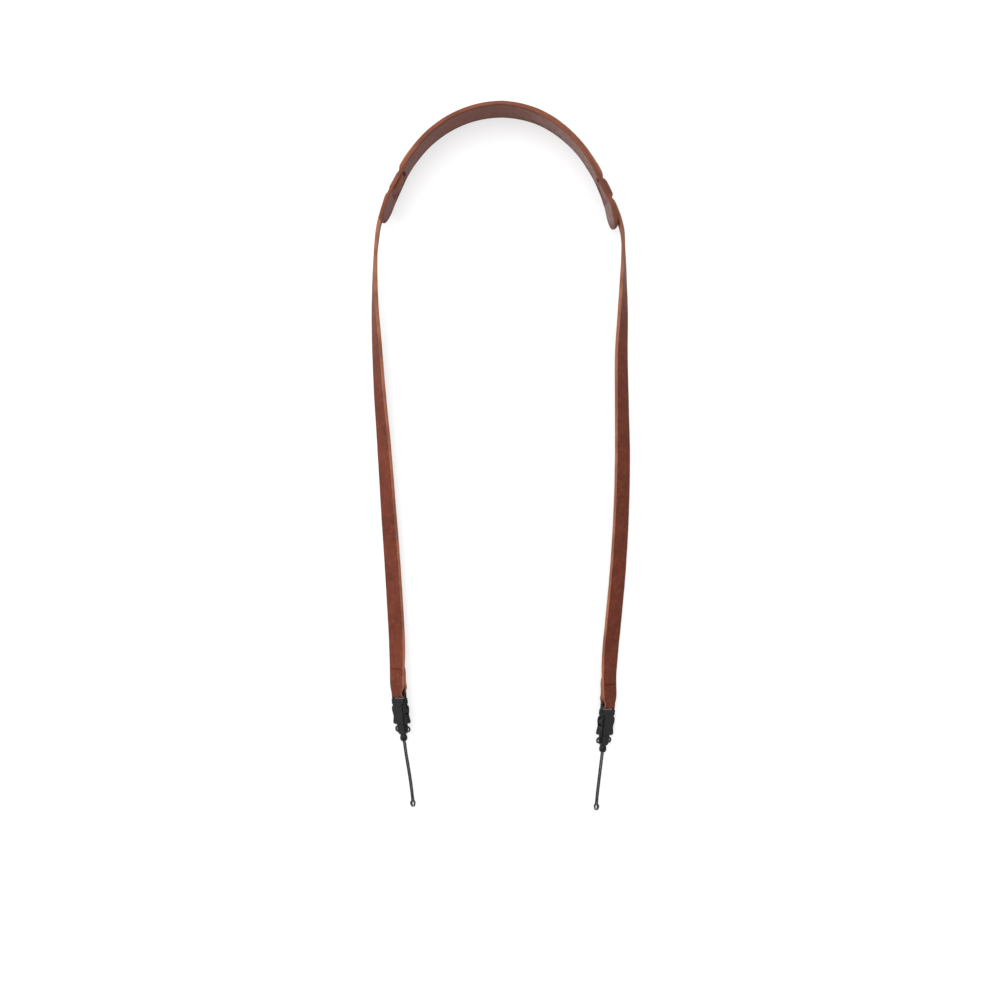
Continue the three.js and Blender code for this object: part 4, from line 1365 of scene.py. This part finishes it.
def make_stitches(side, sizes):
    """Sewn line across a strap end, on its face and on the back of its tab."""
    stations = finer(strap_stations(), step_on_strap)
    stations = [s for s in stations if from_buckle(s, side) < NEAR_BUCKLE]
    vertices, faces = [], []
    for face in (1, -1):
        layer = [s for s in stations if s.n.dot(BUCKLES[side].n) * face > 0]
        station = min(layer, key=lambda s: abs(from_seam(s, side)))
        inner = station.width / 2 - STITCH_INSET
        count = max(2, round(2 * inner / sizes.stitch_length))
        for i in range(count):
            ends = (i + STITCH_START, i + 1 - STITCH_START)
            start, end = (lerp(-inner, inner, edge / count) for edge in ends)
            points = stitch_line(station, start, end, sizes.thread_diameter / 2)
            rings, _ = tube(points, sizes.thread_diameter / 2, STITCH_SIDES)
            more_vertices, more_faces = skin(rings)
            faces += [tuple(v + len(vertices) for v in f) for f in more_faces]
            vertices += more_vertices
    return new_piece(f"{side}_stitches", vertices, faces)


def stitch_line(station, start, end, radius):
    """Middle of one stitch: out of the leather, over it and in again."""
    points = []
    for k in range(STITCH_STEPS + 1):
        part = k / STITCH_STEPS
        rise = radius * (STITCH_RISE * math.sin(math.pi * part) - STITCH_BED)
        lift = station.thickness / 2 - STITCH_SINK + rise
        across = station.u * lerp(start, end, part)
        points.append(station.centre + across + station.n * lift + ARC_CENTRE)
    return points


# Plastic


def mirrored(half):
    """Right half of an outline, then its left half on the way back."""
    return list(half) + [(-x, y) for x, y in reversed(half)]


def circle(radius, y, count):
    turns = [math.tau * i / count for i in range(count)]
    return [(radius * math.cos(turn), y + radius * math.sin(turn)) for turn in turns]


def rounded_outline(half, width, length, y, steps):
    """Closed smooth outline through the points of its right half, given as shares of its size."""
    points = [(x * width / 2, y + share * length) for x, share in half]
    looped = [Vector((x, y, 0)) for x, y in mirrored(points)]
    route = Route(looped[-2:] + looped + looped[:3])
    first, last, total = 2, len(looped) + 2, len(looped) + 4
    made = [route.at(lerp(first, last, i / steps) / total) for i in range(steps)]
    return [(place.x, place.y) for place in made]


def oblong(width, length, corner, y):
    """Outline of a rectangle with round corners, starting at y and running along."""
    half_width, half_length = width / 2 - corner, length / 2 - corner
    made = []
    for x_side, y_side, start in ((1, 1, 0), (-1, 1, 90), (-1, -1, 180), (1, -1, 270)):
        for i in range(OBLONG_STEPS + 1):
            angle = math.radians(start + 90 * i / OBLONG_STEPS)
            along_y = y + length / 2 + y_side * half_length + corner * math.sin(angle)
            made.append((x_side * half_width + corner * math.cos(angle), along_y))
    return made


def moulded(outline, thickness, rounding, x=0.0):
    """Flat moulding with an outline across and along, and round rims at both faces."""
    count = len(outline)
    area = sum(a[0] * b[1] - b[0] * a[1] for a, b in zip(outline, outline[1:] + outline[:1]))
    turn = 1 if area > 0 else -1
    inward = []
    for i in range(count):
        before, here, after = outline[i - 1], outline[i], outline[(i + 1) % count]
        first = Vector((before[1] - here[1], here[0] - before[0])).normalized()
        second = Vector((here[1] - after[1], after[0] - here[0])).normalized()
        middle = (first + second).normalized() * turn
        inward.append(middle / max(middle.dot(first) * turn, 0.5))
    rings = []
    for out_side in (-1, 1):
        for i in range(RIM_STEPS + 1):
            part = i / RIM_STEPS if out_side > 0 else 1 - i / RIM_STEPS
            level = out_side * (thickness / 2 - rounding * (1 - math.sin(math.pi / 2 * part)))
            inset = rounding * (1 - math.cos(math.pi / 2 * part))
            ring = [(x + p[0] + n.x * inset, p[1] + n.y * inset, level) for p, n in zip(outline, inward)]
            rings.append(ring)
    return solid(*skin(rings))


def solid(vertices, faces):
    mesh = new_mesh("solid", vertices, faces)
    built = bmesh.new()
    built.from_mesh(mesh)
    bmesh.ops.recalc_face_normals(built, faces=built.faces)
    built.to_mesh(mesh)
    built.free()
    return mesh


def turned(profile, sides, place, axis):
    """Solid of revolution: radius and distance along an axis from a place."""
    across = axis.orthogonal().normalized()
    beside = axis.cross(across)
    turns = [math.tau * k / sides for k in range(sides)]
    spokes = [across * math.cos(turn) + beside * math.sin(turn) for turn in turns]
    return solid(*skin([[place + axis * y + spoke * radius for spoke in spokes] for radius, y in profile]))


def rod(radius, start, end, sides, place, axis):
    return turned([(radius, start), (radius, end)], sides, place, axis)


def fused(name, solids, cuts, matrix):
    """One moulding from solids that meet, less the cuts, moved into place."""
    helpers = []
    body = new_object(name, solids[0])
    for operation, meshes in (("UNION", solids[1:]), ("DIFFERENCE", cuts)):
        for mesh in meshes:
            helper = new_object("helper", mesh)
            helpers.append(helper)
            step = body.modifiers.new("join", "BOOLEAN")
            step.operation, step.solver, step.object = operation, "MANIFOLD", helper
    graph = bpy.context.evaluated_depsgraph_get()
    mesh = bpy.data.meshes.new_from_object(body.evaluated_get(graph))
    for helper in helpers + [body]:
        bpy.data.objects.remove(helper)
    mesh.transform(matrix)
    piece = mesh_piece(name, mesh, SHARP_ANGLE)
    piece.modifiers.new("even_shading", "WEIGHTED_NORMAL").keep_sharp = True
    return piece


ACROSS, AHEAD = Vector((1, 0, 0)), Vector((0, 1, 0))
COLLAR_END = COLLAR_START + COLLAR_LENGTH
SHELL_LENGTH = SHELL_END - COLLAR_END
TONGUE_REACH = STRAP_WIDTH / 2 + max(STRAP_SHIFT - TONGUE_UPPER_CUT, -STRAP_SHIFT - TONGUE_LOWER_CUT)
FRAME_OUTER = 2 * (TONGUE_REACH + FRAME_SIDE_GAP + FRAME_POST_WIDTH)
CAVITY_WIDTH = SHELL_WIDTH * SHELL_WAIST_SHARE - 2 * SHELL_WALL
BLOCK_START = SHELL_END + CLIP_GAP
BLOCK_MIDDLE = BLOCK_START + BLOCK_LENGTH / 2
TAIL_START = BLOCK_START + BLOCK_LENGTH


def make_socket(side, look):
    soft = {name: look.rounding * share for name, share in ROUNDINGS.items()}
    outline = rounded_outline(SHELL_OUTLINE, SHELL_WIDTH, SHELL_LENGTH, COLLAR_END, SHELL_POINTS)
    shell = moulded(outline, SHELL_THICKNESS, soft["shell"])
    plate_start, plate_length = COLLAR_END - SOCKET_OVERLAP, SHELL_LENGTH + SOCKET_OVERLAP
    outline = oblong(PLATE_WIDTH, plate_length, PLATE_CORNER, plate_start)
    plates = moulded(outline, PLATE_THICKNESS, soft["plates"])
    outline = oblong(COLLAR_WIDTH, COLLAR_LENGTH, COLLAR_CORNER, COLLAR_START)
    collar = moulded(outline, COLLAR_THICKNESS, soft["collar"])
    shoulder_width, shoulder_start = FRAME_OUTER - SHOULDER_INSET, COLLAR_START + SHOULDER_INSET
    outline = oblong(shoulder_width, COLLAR_LENGTH / 2, SHOULDER_CORNER, shoulder_start)
    shoulder = moulded(outline, FRAME_POST_THICKNESS + SHOULDER_RISE, soft["shoulder"])
    post_start, post_middle = BAR_ALONG - BAR_RADIUS, (FRAME_OUTER - FRAME_POST_WIDTH) / 2
    post_length = COLLAR_START - post_start + SOCKET_OVERLAP
    outline = oblong(FRAME_POST_WIDTH, post_length, POST_CORNER, post_start)
    posts = [
        moulded(outline, FRAME_POST_THICKNESS, soft["posts"], sign * post_middle) for sign in (-1, 1)
    ]
    bar = rod(BAR_RADIUS, -post_middle, post_middle, BAR_SIDES, AHEAD * BAR_ALONG, ACROSS)
    cavity_length = SHELL_END - CAVITY_START + CUT_PAST
    outline = oblong(CAVITY_WIDTH, cavity_length, CAVITY_CORNER, CAVITY_START)
    cavity = moulded(outline, CAVITY_THICKNESS, soft["cavity"])
    window_start = CAVITY_START + WINDOW_INSET
    outline = oblong(SHELL_WIDTH + 2 * CUT_PAST, WINDOW_LENGTH, WINDOW_CORNER, window_start)
    windows = moulded(outline, CAVITY_THICKNESS - 2 * WINDOW_INSET, soft["windows"])
    solids = [shell, plates, collar, shoulder, *posts, bar]
    return fused(f"{side}_socket_plastic", solids, [cavity, windows], BUCKLES[side].matrix())


def arm_outline(sign):
    """Spring arm of the clip with its press button."""
    outer = CAVITY_WIDTH / 2 - CLIP_GAP
    inner = outer - ARM_WIDTH
    start = CAVITY_START + WINDOW_INSET + CLIP_GAP
    top = outer + BUTTON_RISE
    points = [
        (inner, start),
        (outer, start),
        (top, start + BUTTON_RISE / 2),
        (top + BUTTON_BULGE, start + BUTTON_LENGTH / 2),
        (top, start + BUTTON_LENGTH - BUTTON_RISE / 2),
        (outer, start + BUTTON_LENGTH),
        (outer, BLOCK_MIDDLE),
        (inner, BLOCK_MIDDLE),
    ]
    return [(x * sign, y) for x, y in points]


def make_clip(side, look):
    soft = {name: look.rounding * share for name, share in ROUNDINGS.items()}
    arm_thickness = CAVITY_THICKNESS - 2 * CLIP_GAP
    outline = rounded_outline(BLOCK_OUTLINE, BLOCK_WIDTH, BLOCK_LENGTH, BLOCK_START, BLOCK_POINTS)
    block = moulded(outline, BLOCK_THICKNESS, soft["block"])
    plug_start = CAVITY_START + PLUG_SHORT
    outline = oblong(PLUG_WIDTH, BLOCK_START - plug_start + PLUG_OVERLAP, PLUG_CORNER, plug_start)
    plug = moulded(outline, arm_thickness * PLUG_THICKNESS_SHARE, soft["plug"])
    arms = [moulded(arm_outline(sign), arm_thickness, soft["arms"]) for sign in (-1, 1)]
    ears, holes = [], []
    half = EAR_THICKNESS / 2 + CUT_PAST
    for sign in (-1, 1):
        outline = circle(EAR_RADIUS, BLOCK_MIDDLE, EAR_POINTS)
        ears.append(moulded(outline, EAR_THICKNESS, soft["ears"], sign * EAR_OUT))
        middle = ACROSS * (sign * EAR_OUT) + AHEAD * BLOCK_MIDDLE
        holes.append(rod(EAR_HOLE, -half, half, EAR_HOLE_SIDES, middle, UP))
    profile = Route([Vector((r * TAIL_RADIUS, share * TAIL_LENGTH, 0)) for r, share in TAIL_PROFILE])
    bell = [profile.at(i / BELL_STEPS) for i in range(BELL_STEPS + 1)]
    start = AHEAD * TAIL_START
    tail = turned([(p.x, p.y) for p in bell], BELL_SIDES, start, AHEAD)
    deep = TAIL_LENGTH - CORD_HOLE_DEPTH
    holes.append(rod(CORD_HOLE_RADIUS, deep, TAIL_LENGTH + CUT_PAST, CORD_HOLE_SIDES, start, AHEAD))
    solids = [block, plug, *arms, *ears, tail]
    return fused(f"{side}_clip_plastic", solids, holes, BUCKLES[side].matrix())


# Settings that a user would change


def colour_setting(name, description, default):
    return bpy.props.FloatVectorProperty(
        name=name, description=description, default=default, size=3, min=0, max=1, subtype="COLOR"
    )


def length_setting(name, description, default, most=0.1):
    return bpy.props.FloatProperty(
        name=name,
        description=description,
        default=default,
        min=0.0,
        max=most,
        precision=5,
        subtype="DISTANCE",
        unit="LENGTH",
    )


def share_setting(name, description, default):
    return bpy.props.FloatProperty(
        name=name, description=description, default=default, min=0.0, max=1.0, subtype="FACTOR"
    )


def light_setting(name, description, default, unit="NONE"):
    return bpy.props.FloatProperty(name=name, description=description, default=default, min=0.0, unit=unit)


class LeatherLook(bpy.types.PropertyGroup):
    """Colours and grain of the leather."""

    face_colour: colour_setting("Face", "Colour of the smooth side", (0.098, 0.0225, 0.0125))
    pad_colour: colour_setting("Pad face", "Colour of the pad's smooth side", (0.105, 0.026, 0.0145))
    pull_colour: colour_setting("Pull-up", "Colour where the leather is rubbed", (0.165, 0.048, 0.026))
    back_colour: colour_setting("Back", "Colour of the side against the body", (0.121, 0.0385, 0.0265))
    # Painted sheen: the colour that the leather's back takes towards +x, standing in for the light from the
    # left
    painted_sheen_colour: colour_setting("Bloom", "Colour of the wax on the leather's back", (0.2, 0.13, 0.12))
    border_colour: colour_setting("Border", "Colour of the pressed border of the pad", (0.062, 0.017, 0.008))
    edge_colour: colour_setting("Edge", "Colour of the strap's cut edges", (0.22, 0.088, 0.05))
    pad_edge_colour: colour_setting("Pad edge", "Colour of the pad's cut edges", (0.148, 0.05, 0.029))
    thread_colour: colour_setting("Thread", "Colour of the sewn lines", (0.075, 0.0185, 0.0105))
    roughness: share_setting("Roughness", "How matt the leather is", 0.46)
    shine: share_setting("Shine", "How much the leather mirrors", 0.05)
    grain_size: length_setting("Grain size", "Width of one grain cell", 0.00055)
    grain_depth: length_setting("Grain depth", "Depth of the grain", 0.00005)
    cloud_size: length_setting("Cloud size", "Size of the slow changes of colour", 0.018)


class LeatherSizes(bpy.types.PropertyGroup):
    """Sizes that the leather's edges and seams take."""

    edge_rounding: length_setting("Edge rounding", "Radius of the worked edges", 0.0006, 0.0009)
    crease_inset: length_setting("Crease inset", "Distance of the pad's crease line from its edge", 0.0018)
    crease_depth: length_setting("Crease depth", "Depth of the pad's crease line", 0.00022)
    stitch_length: length_setting("Stitch length", "Length of one stitch", 0.0024)
    thread_diameter: length_setting("Thread", "Diameter of the thread", 0.00055)


class PlasticLook(bpy.types.PropertyGroup):
    """Finish of the buckles."""

    colour: colour_setting("Colour", "Colour of the plastic", (0.0058, 0.006, 0.0065))
    roughness: share_setting("Roughness", "How matt the plastic is", 0.3)
    rounding: length_setting("Rounding", "Radius of the moulded edges", 0.00028, 0.0006)
    texture_depth: length_setting("Texture depth", "Depth of the moulded texture", 0.00002)


class CordLook(bpy.types.PropertyGroup):
    """Finish of the cord loops."""

    colour: colour_setting("Colour", "Colour of the cord", (0.017, 0.017, 0.0175))
    roughness: share_setting("Roughness", "How matt the cord is", 0.7)


class StageLook(bpy.types.PropertyGroup):
    """Table and light."""

    floor_colour: colour_setting("Table", "Colour of the table", (0.36, 0.36, 0.36))
    floor_glow: light_setting("Table glow", "Light that comes through the table from below", 0.565)
    key_power: light_setting("Key light", "Power of the large soft light", 9.5, "POWER")
    side_power: light_setting("Side light", "Power of the low light at the left", 7.2, "POWER")
    sky: light_setting("Sky", "Strength of the light all round", 1.15)


SETTINGS = {
    "strap_leather_look": LeatherLook,
    "strap_leather_sizes": LeatherSizes,
    "strap_plastic_look": PlasticLook,
    "strap_cord_look": CordLook,
    "strap_stage_look": StageLook,
}


# Operators


class NECKSTRAP_OT_stage(bpy.types.Operator):
    """Makes the camera, the table and the soft light"""

    bl_idname = "neck_strap.stage"
    bl_label = "Stage"

    def execute(self, context):
        look = context.scene.strap_stage_look
        camera_data = bpy.data.cameras.new("camera")
        camera_data.sensor_width = SENSOR_WIDTH
        camera_data.lens = SENSOR_WIDTH * CAMERA_HEIGHT / VIEW_WIDTH
        camera_data.clip_start, camera_data.clip_end = CAMERA_CLIP
        camera = new_object("camera", camera_data)
        camera.location = ARC_CENTRE + Vector((0, -PICTURE_BELOW_ARC, CAMERA_HEIGHT))
        context.scene.camera = camera
        corners = [(-1, -1), (1, -1), (1, 1), (-1, 1)]
        corners = [(x * TABLE_HALF_WIDTH, y * TABLE_HALF_WIDTH, TABLE_TOP) for x, y in corners]
        table = new_object("table", new_mesh("table", corners, [(0, 1, 2, 3)]))
        table.data.materials.append(floor_finish(look))
        self.light("key_light", KEY_LIGHT_PLACE, KEY_LIGHT_SIZE, look.key_power)
        self.light("side_light", SIDE_LIGHT_PLACE, SIDE_LIGHT_SIZE, look.side_power)
        world = bpy.data.worlds.new("studio")
        world.use_nodes = True
        world.node_tree.nodes["Background"].inputs["Color"].default_value = (1, 1, 1, 1)
        world.node_tree.nodes["Background"].inputs["Strength"].default_value = look.sky
        context.scene.world = world
        context.scene.view_settings.view_transform = "Standard"
        return {"FINISHED"}

    def light(self, name, place, size, power):
        lamp_data = bpy.data.lights.new(name, "AREA")
        lamp_data.shape, lamp_data.size, lamp_data.energy = "DISK", size, power
        lamp = new_object(name, lamp_data)
        lamp.location = place
        lamp.rotation_euler = (-Vector(place)).to_track_quat("-Z", "Y").to_euler()


class NECKSTRAP_OT_cords(bpy.types.Operator):
    """Makes the two cord loops"""

    bl_idname = "neck_strap.cords"
    bl_label = "Cord loops"

    def execute(self, context):
        material = cord_finish(context.scene.strap_cord_look)
        for side, table in (("left", LEFT_CORD), ("right", RIGHT_CORD)):
            points = cord_route(BUCKLES[side], table)
            rings, strands = tube(points, CORD_DIAMETER / 2, CORD_SIDES, braid)
            vertices, faces = skin(rings)
            piece = new_piece(f"{side}_cord_loop", vertices, faces, {"strand": strands})
            dress(piece, material, [f"{side}_cord"])
            length_of(points)
        return {"FINISHED"}


class NECKSTRAP_OT_pad(bpy.types.Operator):
    """Makes the neck pad"""

    bl_idname = "neck_strap.pad"
    bl_label = "Neck pad"

    def execute(self, context):
        look = context.scene.strap_leather_look
        piece = make_pad(context.scene.strap_leather_sizes)
        dress(piece, leather_finish("pad_leather", look, True), ["neck_pad"])
        return {"FINISHED"}


class NECKSTRAP_OT_strap(bpy.types.Operator):
    """Makes the long strap with its folded ends"""

    bl_idname = "neck_strap.strap"
    bl_label = "Strap"

    def execute(self, context):
        look = context.scene.strap_leather_look
        piece = make_strap(context.scene.strap_leather_sizes)
        dress(piece, leather_finish("strap_leather", look, False), ["strap"])
        return {"FINISHED"}


class NECKSTRAP_OT_stitches(bpy.types.Operator):
    """Makes the sewn line across each strap end"""

    bl_idname = "neck_strap.stitches"
    bl_label = "Stitches"

    def execute(self, context):
        material = thread_finish(context.scene.strap_leather_look)
        for side in BUCKLES:
            dress(make_stitches(side, context.scene.strap_leather_sizes), material, [])
        return {"FINISHED"}


class NECKSTRAP_OT_buckles(bpy.types.Operator):
    """Makes the sockets and clips of both buckles"""

    bl_idname = "neck_strap.buckles"
    bl_label = "Buckles"

    def execute(self, context):
        look = context.scene.strap_plastic_look
        material = plastic_finish(look)
        for side in BUCKLES:
            dress(make_socket(side, look), material, [f"{side}_socket"])
            dress(make_clip(side, look), material, [f"{side}_clip"])
        return {"FINISHED"}


OPERATORS = [
    NECKSTRAP_OT_stage,
    NECKSTRAP_OT_cords,
    NECKSTRAP_OT_pad,
    NECKSTRAP_OT_strap,
    NECKSTRAP_OT_stitches,
    NECKSTRAP_OT_buckles,
]


class NECKSTRAP_PT_panel(bpy.types.Panel):
    """Lists the steps and the settings."""

    bl_idname = "NECKSTRAP_PT_panel"
    bl_label = "Neck Strap"
    bl_space_type = "VIEW_3D"
    bl_region_type = "UI"
    bl_category = "Neck Strap"

    def draw(self, context):
        for operator in OPERATORS:
            self.layout.operator(operator.bl_idname)
        for key, group in SETTINGS.items():
            box = self.layout.box()
            for name in group.__annotations__:
                box.prop(getattr(context.scene, key), name)


CLASSES = [*SETTINGS.values(), *OPERATORS, NECKSTRAP_PT_panel]


def register():
    for made in CLASSES:
        bpy.utils.register_class(made)
    for key, group in SETTINGS.items():
        setattr(bpy.types.Scene, key, bpy.props.PointerProperty(type=group))


def unregister():
    for key in SETTINGS:
        delattr(bpy.types.Scene, key)
    for made in reversed(CLASSES):
        bpy.utils.unregister_class(made)


def main():
    register()
    bpy.ops.neck_strap.stage()
    bpy.ops.neck_strap.cords()
    bpy.ops.neck_strap.pad()
    bpy.ops.neck_strap.strap()
    bpy.ops.neck_strap.stitches()
    bpy.ops.neck_strap.buckles()


if __name__ == "__main__":
    main()
